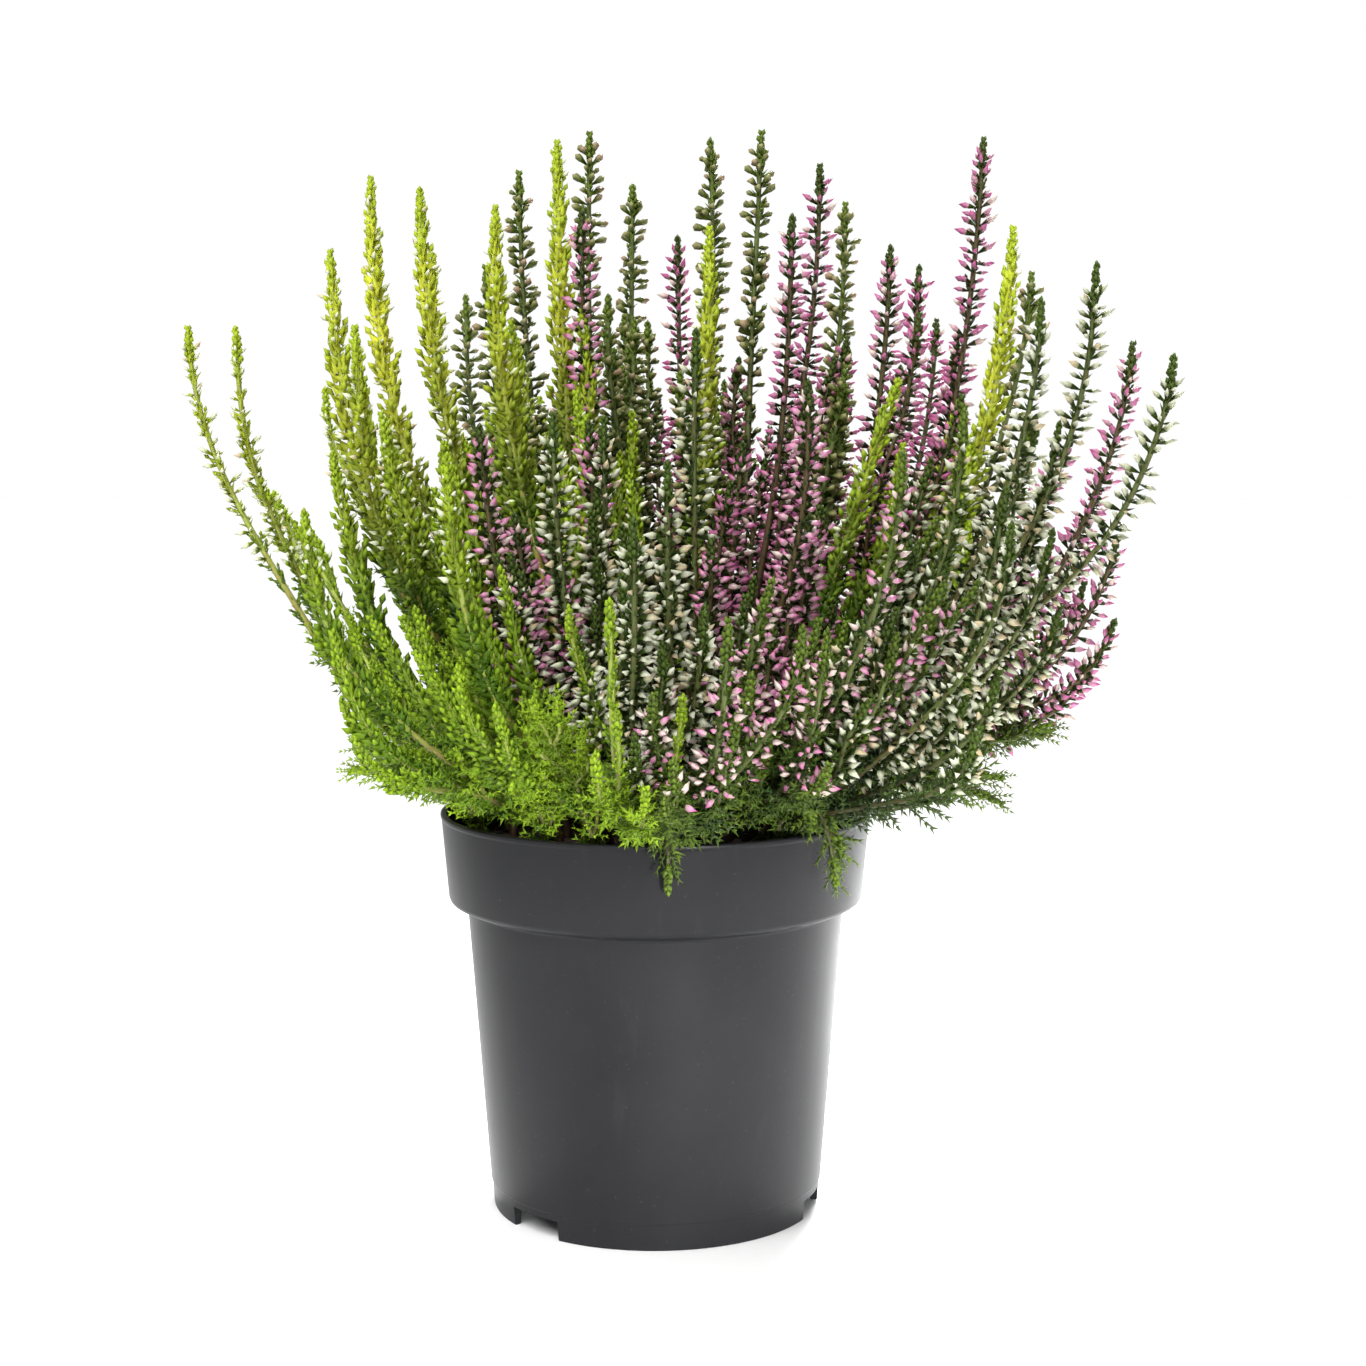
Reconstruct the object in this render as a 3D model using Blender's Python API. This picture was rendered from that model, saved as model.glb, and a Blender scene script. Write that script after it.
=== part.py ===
"""A heather in its plastic pot: sprays of lime, white, pink and green heather, leafy shoots round the rim,
the soil they stand in, and a stepped dark pot with three drainage notches in its foot.

Everything is in metres, +Z up, with the origin on the floor at the pot's axis and -Y to the front.
"""

import math

import bmesh
import bpy
import numpy as np
from mathutils import Matrix, Vector

MM = 0.001

# The pot, a thin moulded shell turned about Z
POT_HEIGHT = 112 * MM
RIM_RADIUS = 60 * MM
BAND_FOOT_Z = 86.5 * MM
BAND_FOOT_RADIUS = 57.7 * MM
BODY_TOP_RADIUS = 52.7 * MM
BODY_FOOT_RADIUS = 46.1 * MM
WALL = 1.2 * MM
SEAM_Z = 7.5 * MM
SEAM_STEP = 0.3 * MM
FOOT_RING_WIDTH = 2.0 * MM
BASE_RAISE = 6 * MM
POT_SIDES = 40

# Openings in the pot's foot and base
NOTCH_TURNS = (-45.6, 74.4, 194.4)  # degrees from the front, positive to the right
NOTCH_WIDTH = 18 * MM
NOTCH_HEIGHT = 5.4 * MM
DRAIN_RADIUS = 4 * MM
DRAIN_RING_RADIUS = 28 * MM
DRAINS_IN_RING = 4

# The soil, and the straight foot of each stem that stands in it
GAP = 0.3 * MM
SOIL_Z = 101 * MM
SOIL_SWELL = 0.8 * MM
SOIL_WAVE = 10 * MM
SOIL_SIDES = 24
HOLE_SIDES = 5
STEM_DEPTH = 12 * MM
STEM_RISE_Z = SOIL_Z + 2 * SOIL_SWELL + GAP  # just over the soil's highest swell
STEM_FOOT_Z = SOIL_Z - STEM_DEPTH
STEM_RADIUS = 1.3 * MM
SHOOT_RADIUS = 0.6 * MM

# How a spray rises: nearly straight out of the soil, then out, then up to its tip
SPRAY_FOOT_SHARE = 0.3  # foot distance from the axis, as a share of the tip's
SPRAY_RISE = 12 * MM
SPRAY_BEND_SHARE = 0.9
SPRAY_BEND_HEIGHT = 0.34
LEAFY_FOOT_RADIUS = 49 * MM
LEAFY_RISE = 20 * MM
LEAFY_BEND_HEIGHT = 27 * MM

# Buds and side shoots are raised from each shoot's four-sided core, every second corner on every ring
RANKS = 4
BUD_SPACING = 4.5 * MM
BUD_REACH = 4.7 * MM
TIP_LENGTH = 13 * MM
TIP_REACH = 1.9 * MM
SIDE_SPACING = 6.3 * MM
SIDE_REACH = 9 * MM
SIDE_LEAN = 4 * MM
PLAIN_FOOT = 6 * MM  # the first bare stretch of a shoot above the soil, or of a side shoot
RANK_TURN = 0.22  # radians that the ranks turn from one ring to the next
NEAREST_SHARE = 0.42  # how far a side shoot may reach towards the next spray
FORK_START = 0.42  # where a side shoot of a spray leaves it, as a share of its length

# Tips of the sprays, in millimetres right of the pot's axis, behind it and above the floor.
# The first tip of a spray is its main shoot's, and any others are its side shoots'.
LIME_SPRAYS = (
    ((-135, 35, 245), (-112, -15, 243)),
    ((-90, 10, 265), (-76, -45, 242)),
    ((-85, 60, 290),),
    ((-66, 20, 283),),
    ((-70, 92, 270), (-102, 78, 228)),
    ((-43, -5, 276),),
    ((-28, 30, 297),),
    ((15, 5, 271),),
    ((97, -5, 270),),
    ((-49, -85, 210),),
    ((-86, -68, 196),),
    ((-9, -120, 178),),
)
WHITE_SPRAYS = (
    ((11, -50, 241),),
    ((99, -45, 249),),
    ((118, -15, 260), (134, -40, 235)),
    ((-24, -75, 220),),
    ((-13, -35, 219),),
    ((4, -80, 208),),
    ((-4, -100, 195),),
    ((-38, 118, 214),),
    ((112, 98, 205),),
    ((86, -90, 194),),
)
PINK_SPRAYS = (
    ((-20, 4, 275),),
    ((6, 120, 277),),
    ((37, -8, 273),),
    ((48, 55, 293),),
    ((39, -60, 228),),
    ((66, 20, 267),),
    ((78, 60, 264),),
    ((88, 104, 250),),
    ((93, 30, 298),),
    ((135, 22, 240),),
    ((-44, -50, 217),),
    ((44, 117, 220),),
)
GREEN_SPRAYS = (
    ((-62, 115, 258),),
    ((-50, 48, 263),),
    ((-42, 76, 293),),
    ((-20, 62, 303),),
    ((-8, 95, 291),),
    ((16, 70, 302),),
    ((30, 34, 300),),
    ((58, 90, 285),),
    ((112, 63, 262),),
    ((78, -60, 222),),
    ((60, -90, 211),),
    ((18, -117, 173), (36, -100, 170)),
)
# Tips of the short leafy shoots round the rim: the two lowest hang over it at the front
LIME_SHOOTS = ((-98, -8, 162), (-86, -26, 126), (-50, -72, 160), (-30, -94, 152), (-88, 48, 130), (-46, 88, 134))
GREEN_SHOOTS = ((4, -67, 102), (50, -58, 102), (98, -28, 118), (117, 4, 133), (84, 62, 130), (26, 102, 132))

# Base colour (linear RGB), roughness and metallic of each material
FINISHES = {
    "pot_plastic": ((0.045, 0.045, 0.049), 0.42, 0.0),
    "soil": ((0.035, 0.022, 0.014), 0.95, 0.0),
    "lime_heather": ((0.42, 0.50, 0.08), 0.6, 0.0),
    "white_heather": ((0.62, 0.64, 0.42), 0.6, 0.0),
    "pink_heather": ((0.55, 0.10, 0.24), 0.6, 0.0),
    "green_heather": ((0.07, 0.16, 0.03), 0.6, 0.0),
}


def clear_scene():
    for obj in list(bpy.data.objects):
        bpy.data.objects.remove(obj, do_unlink=True)


def material(name):
    """The Principled material of that name, made once from FINISHES."""
    if name in bpy.data.materials:
        return bpy.data.materials[name]
    made = bpy.data.materials.new(name)
    made.use_nodes = True
    colour, roughness, metallic = FINISHES[name]
    shader = made.node_tree.nodes["Principled BSDF"]
    shader.inputs["Base Color"].default_value = (*colour, 1)
    shader.inputs["Roughness"].default_value = roughness
    shader.inputs["Metallic"].default_value = metallic
    return made


def object_from(bm, name, material_name):
    """An object in the scene holding the mesh, which is freed."""
    mesh = bpy.data.meshes.new(name)
    bm.to_mesh(mesh)
    bm.free()
    obj = bpy.data.objects.new(name, mesh)
    obj.data.materials.append(material(material_name))
    bpy.context.scene.collection.objects.link(obj)
    return obj


def helper_from(bm, name):
    """A cutter or a second body for a Boolean, left out of the render."""
    obj = object_from(bm, name, "pot_plastic")
    obj.hide_render = True
    obj.display_type = "WIRE"
    return obj


def add_boolean(obj, operation, other):
    boolean = obj.modifiers.new(operation.title(), "BOOLEAN")
    boolean.operation = operation
    boolean.solver = "EXACT"
    boolean.object = other


def front_turned(angle, radius, z):
    """The point at that angle in degrees from the front, positive to the right."""
    turn = math.radians(angle)
    return Vector((radius * math.sin(turn), -radius * math.cos(turn), z))


def turned(bm, profile, sides):
    """Adds the closed solid that the (radius, z) profile makes about Z. It starts and ends on the axis."""
    rings = []
    for radius, z in profile:
        if radius == 0:
            rings.append([bm.verts.new((0, 0, z))] * sides)
            continue
        rings.append([bm.verts.new(front_turned(360 * i / sides, radius, z)) for i in range(sides)])
    for lower, upper in zip(rings, rings[1:]):
        for i in range(sides):
            j = (i + 1) % sides
            corners = dict.fromkeys((lower[i], lower[j], upper[j], upper[i]))
            bm.faces.new(corners)
    bmesh.ops.recalc_face_normals(bm, faces=bm.faces)


def prism(bm, centre, radius, low, high, sides):
    """Adds an upright prism round the centre, between two heights."""
    ends = []
    for z in (low, high):
        ring = []
        for i in range(sides):
            turn = 2 * math.pi * i / sides
            ring.append(bm.verts.new((centre[0] + radius * math.cos(turn), centre[1] + radius * math.sin(turn), z)))
        ends.append(ring)
    bm.faces.new(reversed(ends[0]))
    bm.faces.new(ends[1])
    for i in range(sides):
        j = (i + 1) % sides
        bm.faces.new((ends[0][i], ends[0][j], ends[1][j], ends[1][i]))


def body_radius(z):
    """The outer radius of the pot's tapered body at a height."""
    return BODY_FOOT_RADIUS + (BODY_TOP_RADIUS - BODY_FOOT_RADIUS) * z / BAND_FOOT_Z


def pot_inside():
    """The (radius, z) corners of the pot's inner wall, from the floor's middle up to the rim."""
    floor_top = BASE_RAISE + WALL
    corner = 2 * MM
    return [
        (0, floor_top),
        (body_radius(floor_top) - WALL - corner, floor_top),
        (body_radius(floor_top + corner) - WALL, floor_top + corner),
        (BODY_TOP_RADIUS - WALL, BAND_FOOT_Z),
        (BAND_FOOT_RADIUS - WALL, BAND_FOOT_Z + 1.5 * WALL),
        (RIM_RADIUS - 1.5 * WALL, POT_HEIGHT),
    ]


def make_pot():
    seam = body_radius(SEAM_Z)
    outside = [
        (RIM_RADIUS - 0.5 * WALL, POT_HEIGHT),
        (RIM_RADIUS, POT_HEIGHT - 0.5 * WALL),
        (BAND_FOOT_RADIUS, BAND_FOOT_Z + 1.2 * WALL),
        (BAND_FOOT_RADIUS - WALL, BAND_FOOT_Z),
        (BODY_TOP_RADIUS, BAND_FOOT_Z - 0.2 * WALL),
        (seam, SEAM_Z),
        (seam - SEAM_STEP, SEAM_Z - SEAM_STEP),
        (BODY_FOOT_RADIUS - SEAM_STEP, 0),
        (BODY_FOOT_RADIUS - SEAM_STEP - FOOT_RING_WIDTH, 0),
        (BODY_FOOT_RADIUS - SEAM_STEP - FOOT_RING_WIDTH, BASE_RAISE),
        (0, BASE_RAISE),
    ]
    bm = bmesh.new()
    turned(bm, pot_inside() + outside, POT_SIDES)
    pot = object_from(bm, "pot", "pot_plastic")
    pot.data.shade_smooth()
    pot.data.set_sharp_from_angle(angle=math.radians(30))

    cutters = bmesh.new()
    for turn in NOTCH_TURNS:
        slot = bmesh.ops.create_cube(cutters, size=1)["verts"]
        bmesh.ops.scale(cutters, verts=slot, vec=(NOTCH_WIDTH, 5 * FOOT_RING_WIDTH, 2 * NOTCH_HEIGHT))
        bmesh.ops.translate(cutters, verts=slot, vec=(0, -BODY_FOOT_RADIUS, 0))
        around = Matrix.Rotation(math.radians(turn), 3, "Z")
        bmesh.ops.rotate(cutters, verts=slot, cent=(0, 0, 0), matrix=around)
    holes = [front_turned(360 * i / DRAINS_IN_RING, DRAIN_RING_RADIUS, 0) for i in range(DRAINS_IN_RING)]
    for centre in [Vector((0, 0, 0)), *holes]:
        prism(cutters, centre, DRAIN_RADIUS, BASE_RAISE - WALL, BASE_RAISE + 2 * WALL, 8)
    add_boolean(pot, "DIFFERENCE", helper_from(cutters, "pot_cutters"))


def soil_height(x, y):
    """The soil's uneven top: a low swell in each direction."""
    return SOIL_Z + SOIL_SWELL * (math.sin(x / SOIL_WAVE) + math.cos(y / SOIL_WAVE))


def make_soil(feet):
    """The soil fills the pot up to a little below the rim, with a plain hole for each stem's foot."""
    inside = pot_inside()
    rim_radius = np.interp(SOIL_Z, [inside[4][1], inside[5][1]], [inside[4][0], inside[5][0]])
    wall = [(radius - GAP, z + GAP) for radius, z in inside[1:5]]
    top = [((rim_radius - GAP) * share, SOIL_Z) for share in (1, 0.72, 0.45, 0.2, 0)]
    bm = bmesh.new()
    turned(bm, [(0, inside[0][1] + GAP), *wall, *top], SOIL_SIDES)
    for vert in bm.verts:
        if vert.co.z > SOIL_Z - GAP:
            vert.co.z = soil_height(vert.co.x, vert.co.y)
    soil = object_from(bm, "soil", "soil")
    cutters = bmesh.new()
    for foot in feet:
        radius = (STEM_RADIUS + GAP) / math.cos(math.pi / HOLE_SIDES)
        prism(cutters, foot, radius, STEM_FOOT_Z - GAP, STEM_RISE_Z + GAP, HOLE_SIDES)
    add_boolean(soil, "DIFFERENCE", helper_from(cutters, "stem_holes"))


def bezier(corners, share):
    """The point of a cubic curve at that share of its run."""
    rest = 1 - share
    a, b, c, d = corners
    return a * rest**3 + b * 3 * rest**2 * share + c * 3 * rest * share**2 + d * share**3


def curve_points(corners, count=48):
    return [bezier(corners, i / (count - 1)) for i in range(count)]


def spray_corners(tip):
    """The four control points of a tall spray's main shoot."""
    foot = Vector((tip.x * SPRAY_FOOT_SHARE, tip.y * SPRAY_FOOT_SHARE, STEM_RISE_Z))
    bend = Vector((tip.x * SPRAY_BEND_SHARE, tip.y * SPRAY_BEND_SHARE, 0))
    bend.z = foot.z + SPRAY_BEND_HEIGHT * (tip.z - foot.z)
    return foot, foot + Vector((0, 0, SPRAY_RISE)), bend, tip


def leafy_corners(tip):
    """The four control points of a short shoot that leans out over the rim."""
    out = Vector((tip.x, tip.y, 0)).normalized()
    foot = out * LEAFY_FOOT_RADIUS
    foot.z = STEM_RISE_Z
    reach = Vector((tip.x, tip.y, 0)).length
    bend = out * max(0.8 * reach, 1.15 * RIM_RADIUS)
    bend.z = foot.z + LEAFY_BEND_HEIGHT
    return foot, foot + Vector((0, 0, LEAFY_RISE)), bend, tip


def fork_corners(parent, tip):
    """The control points of a side shoot that leaves its parent part of the way up."""
    start = bezier(parent, FORK_START)
    ahead = (bezier(parent, FORK_START + 0.02) - start).normalized()
    length = (tip - start).length
    last = (parent[3] - parent[2]).normalized()
    return start, start + ahead * 0.25 * length, tip - last * 0.4 * length, tip


class Shoot:
    """One run of buds or side shoots: its centre line, how long its budded stretch is, and its foot's depth."""

    def __init__(self, corners, budded, rooted):
        self.points = curve_points(corners)
        if rooted:
            foot = self.points[0]
            self.points.insert(0, Vector((foot.x, foot.y, STEM_FOOT_Z)))
        self.rooted = rooted
        self.budded = budded
        steps = [(b - a).length for a, b in zip(self.points, self.points[1:])]
        self.lengths = np.concatenate([[0], np.cumsum(steps)])
        self.length = float(self.lengths[-1])
        self.table = np.array([tuple(point) for point in self.points])

    def at(self, run):
        return Vector([float(np.interp(run, self.lengths, self.table[:, i])) for i in range(3)])

    def along(self, run):
        step = 1 * MM
        return (self.at(min(run + step, self.length)) - self.at(max(run - step, 0))).normalized()

    def rings(self):
        """Distances along the shoot at which its core has a ring of corners."""
        straight = STEM_RISE_Z - STEM_FOOT_Z
        runs = [0, straight, straight + PLAIN_FOOT] if self.rooted else [0, PLAIN_FOOT]
        while runs[-1] < self.length - self.budded - SIDE_SPACING:
            runs.append(runs[-1] + SIDE_SPACING)
        left = self.length - runs[-1]
        count = max(3, round(left / BUD_SPACING))
        return runs + [runs[-1] + left * (i + 1) / count for i in range(count - 1)]


def reach_and_lean(shoot, run):
    """How far a raised corner stands off the centre line at a distance along the shoot, and how far it leans up."""
    to_tip = shoot.length - run
    if to_tip < TIP_LENGTH:
        return TIP_REACH + 0.5 * MM * to_tip / TIP_LENGTH, 1.2 * MM
    if to_tip < shoot.budded:
        share = (to_tip - TIP_LENGTH) / max(shoot.budded - TIP_LENGTH, MM)
        return BUD_REACH * (0.75 + 0.3 * share), (1.8 - 2.4 * share) * MM
    return SIDE_REACH, SIDE_LEAN


def add_shoot(bm, shoot, others):
    """Adds the shoot's closed solid. others are points of the neighbours that its corners keep clear of."""
    rings = []
    runs = shoot.rings()
    for k, run in enumerate(runs):
        centre = shoot.at(run)
        ahead = shoot.along(run)
        side = ahead.cross(Vector((0.3, 1, 0.1))).normalized()
        front = ahead.cross(side)
        share = run / shoot.length
        core = (STEM_RADIUS if shoot.rooted else 0.7 * STEM_RADIUS) * (1 - share) + SHOOT_RADIUS * share
        nearest = float(np.linalg.norm(others - np.array(centre), axis=1).min())
        reach, lean = reach_and_lean(shoot, run)
        reach = min(reach, NEAREST_SHARE * nearest)
        plain = k < 2 or reach < core + 0.5 * MM
        ring = []
        for j in range(RANKS):
            turn = 2 * math.pi * j / RANKS + RANK_TURN * k * (0 if k < 2 else 1)
            raised = not plain and (k + j) % 2 == 0
            out = side * math.cos(turn) + front * math.sin(turn)
            ring.append(bm.verts.new(centre + out * (reach if raised else core) + ahead * (lean if raised else 0)))
        rings.append(ring)
    bm.faces.new(rings[0])
    for k, (lower, upper) in enumerate(zip(rings, rings[1:])):
        for j in range(RANKS):
            i = (j + 1) % RANKS
            if (k + j) % 2 == 0:
                bm.faces.new((lower[j], lower[i], upper[j]))
                bm.faces.new((lower[i], upper[i], upper[j]))
            else:
                bm.faces.new((lower[j], lower[i], upper[i]))
                bm.faces.new((lower[j], upper[i], upper[j]))
    end = bm.verts.new(shoot.at(shoot.length))
    for j in range(RANKS):
        bm.faces.new((rings[-1][j], rings[-1][(j + 1) % RANKS], end))
    bmesh.ops.recalc_face_normals(bm, faces=bm.faces)


def in_metres(tip):
    return Vector(tip) * MM


def planned_sprays():
    """Each spray's name, material and shoots, the main one first."""
    planned = []
    kinds = (
        ("lime_spray", "lime_heather", LIME_SPRAYS, 0.42),
        ("white_spray", "white_heather", WHITE_SPRAYS, 0.55),
        ("pink_spray", "pink_heather", PINK_SPRAYS, 0.55),
        ("green_spray", "green_heather", GREEN_SPRAYS, 0.5),
    )
    for name, finish, sprays, budded in kinds:
        for i, tips in enumerate(sprays, 1):
            main = spray_corners(in_metres(tips[0]))
            length = (main[3] - main[0]).length
            shoots = [Shoot(main, budded * length, rooted=True)]
            for tip in tips[1:]:
                shoots.append(Shoot(fork_corners(main, in_metres(tip)), budded * length, rooted=False))
            planned.append((f"{name}_{i:02d}", finish, shoots))
    for name, finish, tips in (("lime_shoot", "lime_heather", LIME_SHOOTS), ("green_shoot", "green_heather", GREEN_SHOOTS)):
        for i, tip in enumerate(tips, 1):
            shoots = [Shoot(leafy_corners(in_metres(tip)), TIP_LENGTH, rooted=True)]
            planned.append((f"{name}_{i:02d}", finish, shoots))
    return planned


def rim_points():
    """Points round the pot's rim, which the sprays keep clear of as they do of each other."""
    turns = np.arange(0, 2 * math.pi, 0.04)
    return np.stack([RIM_RADIUS * np.cos(turns), RIM_RADIUS * np.sin(turns), np.full(len(turns), POT_HEIGHT)], axis=1)


def make_spray(name, finish, shoots, others):
    bm = bmesh.new()
    add_shoot(bm, shoots[0], others)
    spray = object_from(bm, name, finish)
    for i, shoot in enumerate(shoots[1:], 1):
        fork = bmesh.new()
        add_shoot(fork, shoot, others)
        add_boolean(spray, "UNION", helper_from(fork, f"{name}_fork_{i}"))


def main():
    clear_scene()
    make_pot()
    planned = planned_sprays()
    clouds = {name: np.concatenate([shoot.table for shoot in shoots]) for name, _, shoots in planned}
    rim = rim_points()
    for name, finish, shoots in planned:
        others = np.concatenate([rim] + [cloud for other, cloud in clouds.items() if other != name])
        make_spray(name, finish, shoots, others)
    make_soil([shoots[0].points[0] for _, _, shoots in planned])


main()
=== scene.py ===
"""Dresses the potted heather: a moulded pot, crumbly soil, and sprays grown with Geometry Nodes.

Laid out as an add-on. Each Operator makes one piece or one group of like pieces, and main runs them in order.
Everything is in metres, +Z up, with the origin on the floor at the pot's axis and -Y to the front.
"""

import math
import random

import bmesh
import bpy
from bpy.props import FloatProperty, FloatVectorProperty, IntProperty, PointerProperty
from mathutils import Matrix, Vector


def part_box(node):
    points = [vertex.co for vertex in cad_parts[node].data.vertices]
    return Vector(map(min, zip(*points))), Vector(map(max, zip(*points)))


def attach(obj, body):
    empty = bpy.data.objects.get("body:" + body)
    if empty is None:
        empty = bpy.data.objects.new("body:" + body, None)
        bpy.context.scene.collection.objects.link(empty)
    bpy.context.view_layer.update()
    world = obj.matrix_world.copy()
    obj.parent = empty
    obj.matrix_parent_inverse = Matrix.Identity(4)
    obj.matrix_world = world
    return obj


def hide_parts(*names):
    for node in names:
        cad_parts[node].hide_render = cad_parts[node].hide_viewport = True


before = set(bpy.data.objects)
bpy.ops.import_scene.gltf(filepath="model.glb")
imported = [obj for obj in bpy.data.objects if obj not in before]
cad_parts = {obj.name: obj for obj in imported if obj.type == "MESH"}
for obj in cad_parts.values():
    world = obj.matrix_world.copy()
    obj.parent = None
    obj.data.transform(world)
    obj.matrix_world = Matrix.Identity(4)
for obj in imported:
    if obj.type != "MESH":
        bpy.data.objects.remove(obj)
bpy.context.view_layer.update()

bl_info = {
    "name": "Potted Heather",
    "version": (1, 0, 0),
    "blender": (4, 5, 0),
    "location": "3D View > Sidebar > Heather",
    "description": "Makes a pot of lime, white, pink and green heather",
    "category": "Add Mesh",
}

MM = 0.001
ROOT = "root"

# The pot's outline, as it is built
POT_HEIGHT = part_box("pot")[1].z
RIM_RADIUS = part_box("pot")[1].x
BAND_FOOT_Z = 86.5 * MM
BAND_FOOT_RADIUS = 57.7 * MM
BODY_TOP_RADIUS = 52.7 * MM
BODY_FOOT_RADIUS = 46.1 * MM
WALL = 1.2 * MM
SEAM_Z = 7.5 * MM
SEAM_STEP = 0.3 * MM
FOOT_RING_WIDTH = 2.0 * MM
BASE_RAISE = 6 * MM
NOTCH_TURNS = (-45.6, 74.4, 194.4)  # degrees from the front, positive to the right
NOTCH_WIDTH = 18 * MM
NOTCH_HEIGHT = 5.4 * MM
DRAIN_RADIUS = 4 * MM
DRAIN_RING_RADIUS = 28 * MM
DRAINS_IN_RING = 4
SHARP_ANGLE = math.radians(40)

# The soil's top, and how each stem rises from it
SOIL_Z = 101 * MM
SOIL_SWELL = 0.8 * MM
SOIL_WAVE = 10 * MM
SOIL_ROUGHNESS = 0.5
SOIL_SIDES = 72
SOIL_RINGS = 16
BAND_TAPER = 0.09  # how much the band's inner wall narrows for each unit that it goes down
GAP = 0.3 * MM
STEM_RISE_Z = SOIL_Z + 2 * SOIL_SWELL + GAP
STEM_FOOT_Z = SOIL_Z - 12 * MM
STEM_RADIUS = 1.3 * MM
SHOOT_RADIUS = 0.62 * MM
SPRAY_FOOT_SHARE = 0.3
SPRAY_RISE = 12 * MM
SPRAY_BEND_SHARE = 0.97
SPRAY_BEND_HEIGHT = 0.34
LEAFY_FOOT_RADIUS = 49 * MM
LEAFY_RISE = 20 * MM
LEAFY_BEND_HEIGHT = 27 * MM
FORK_START = 0.42
STALK = 2.1 * MM  # of a bud
SKIRT_Z = 128 * MM  # the leafy skirt below this bears no buds

# Tips of the sprays, in millimetres right of the pot's axis, behind it and above the floor.
# The first tip of a spray is its main shoot's, and any others are its side shoots'.
LIME_SPRAYS = (
    ((-135, 35, 245), (-112, -15, 243)),
    ((-90, 10, 265), (-76, -45, 242)),
    ((-85, 60, 290),),
    ((-66, 20, 283),),
    ((-70, 92, 270), (-102, 78, 228)),
    ((-43, -5, 276),),
    ((-28, 30, 297),),
    ((15, 5, 271),),
    ((97, -5, 270),),
    ((-49, -85, 210),),
    ((-86, -68, 196),),
    ((-9, -120, 178),),
)
WHITE_SPRAYS = (
    ((11, -50, 241),),
    ((99, -45, 249),),
    ((118, -15, 260), (134, -40, 235)),
    ((-24, -75, 220),),
    ((-13, -35, 219),),
    ((4, -80, 208),),
    ((-4, -100, 195),),
    ((-38, 118, 214),),
    ((112, 98, 205),),
    ((86, -90, 194),),
)
PINK_SPRAYS = (
    ((-20, 4, 275),),
    ((6, 120, 277),),
    ((37, -8, 273),),
    ((48, 55, 293),),
    ((39, -60, 228),),
    ((66, 20, 267),),
    ((78, 60, 264),),
    ((88, 104, 250),),
    ((93, 30, 298),),
    ((135, 22, 240),),
    ((-44, -50, 217),),
    ((44, 117, 220),),
)
GREEN_SPRAYS = (
    ((-62, 115, 258),),
    ((-50, 48, 263),),
    ((-42, 76, 293),),
    ((-20, 62, 303),),
    ((-8, 95, 291),),
    ((16, 70, 302),),
    ((30, 34, 300),),
    ((58, 90, 285),),
    ((112, 63, 262),),
    ((78, -60, 222),),
    ((60, -90, 211),),
    ((18, -117, 173), (36, -100, 170)),
)
# Tips of the short leafy shoots round the rim: the two lowest hang over it at the front
LIME_SHOOTS = (
    (-98, -8, 162), (-86, -26, 126), (-50, -72, 160), (-30, -94, 152), (-88, 48, 130), (-46, 88, 134),
)
GREEN_SHOOTS = ((4, -67, 102), (50, -58, 102), (98, -28, 118), (117, 4, 133), (84, 62, 130), (26, 102, 132))


# Properties a user would change

def colour(name, description, rgb):
    return FloatVectorProperty(name=name, description=description, default=rgb, min=0, max=1, subtype="COLOR")


def number(name, description, default, **settings):
    return FloatProperty(name=name, description=description, default=default, **settings)


def length(name, description, metres):
    return number(name, description, metres, min=0, unit="LENGTH", precision=4)


class HeatherPot(bpy.types.PropertyGroup):
    plastic: colour("Plastic", "Colour of the pot's moulded plastic", (0.010, 0.010, 0.011))
    scuff: colour("Scuffs", "Colour of the fine scuffs and dust on the plastic", (0.055, 0.055, 0.058))
    sides: IntProperty(name="Sides", description="Facets round the pot", default=128, min=24)


class HeatherSoil(bpy.types.PropertyGroup):
    dark: colour("Dark", "Colour of the moist compost", (0.012, 0.008, 0.005))
    light: colour("Light", "Colour of the dry fibres in the compost", (0.09, 0.055, 0.03))
    crumbs: IntProperty(name="Crumbs", description="Number of loose crumbs on the soil", default=700, min=0)
    crumb_size: length("Crumb size", "Mean radius of a crumb", 0.9 * MM)


VARIETY_COLOURS = (
    # the old needles' colour is also the painted shade of the needles deep inside the bush
    ("leaf_old", "Old needles", "the needles low and deep in the plant"),
    ("leaf", "Needles", "most needles"),
    ("leaf_young", "Young needles", "the points of the needles at the growing tips"),
    ("leaf_high", "High needles", "the leaves high on the spikes"),
    ("stem_old", "Old stem", "the woody part of a stem"),
    ("stem_young", "Young stem", "a stem near its tip"),
    ("bud_base", "Bud base", "a bud where it joins its stalk"),
    ("bud", "Bud", "the body of a bud"),
    ("bud_tip", "Bud tip", "the point of a bud"),
    ("bud_other", "Other buds", "the odd buds among the rest"),
    ("bud_deep", "Deep buds", "the buds on the sprays at the back"),
)


def variety(*colours):
    """The annotations of one variety's colours, given in the order of VARIETY_COLOURS."""
    rows = zip(VARIETY_COLOURS, colours)
    return {key: colour(name, f"Colour of {what}", rgb) for (key, name, what), rgb in rows}


class HeatherLime(bpy.types.PropertyGroup):
    __annotations__ = variety(
        (0.030, 0.068, 0.002), (0.054, 0.125, 0.002), (0.32, 0.48, 0.015), (0.90, 0.88, 0.06),
        (0.24, 0.09, 0.025), (0.38, 0.46, 0.08), (0.34, 0.44, 0.12), (0.78, 0.80, 0.60), (0.86, 0.86, 0.74),
        (0.70, 0.50, 0.30), (0.72, 0.74, 0.45),
    )


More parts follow.
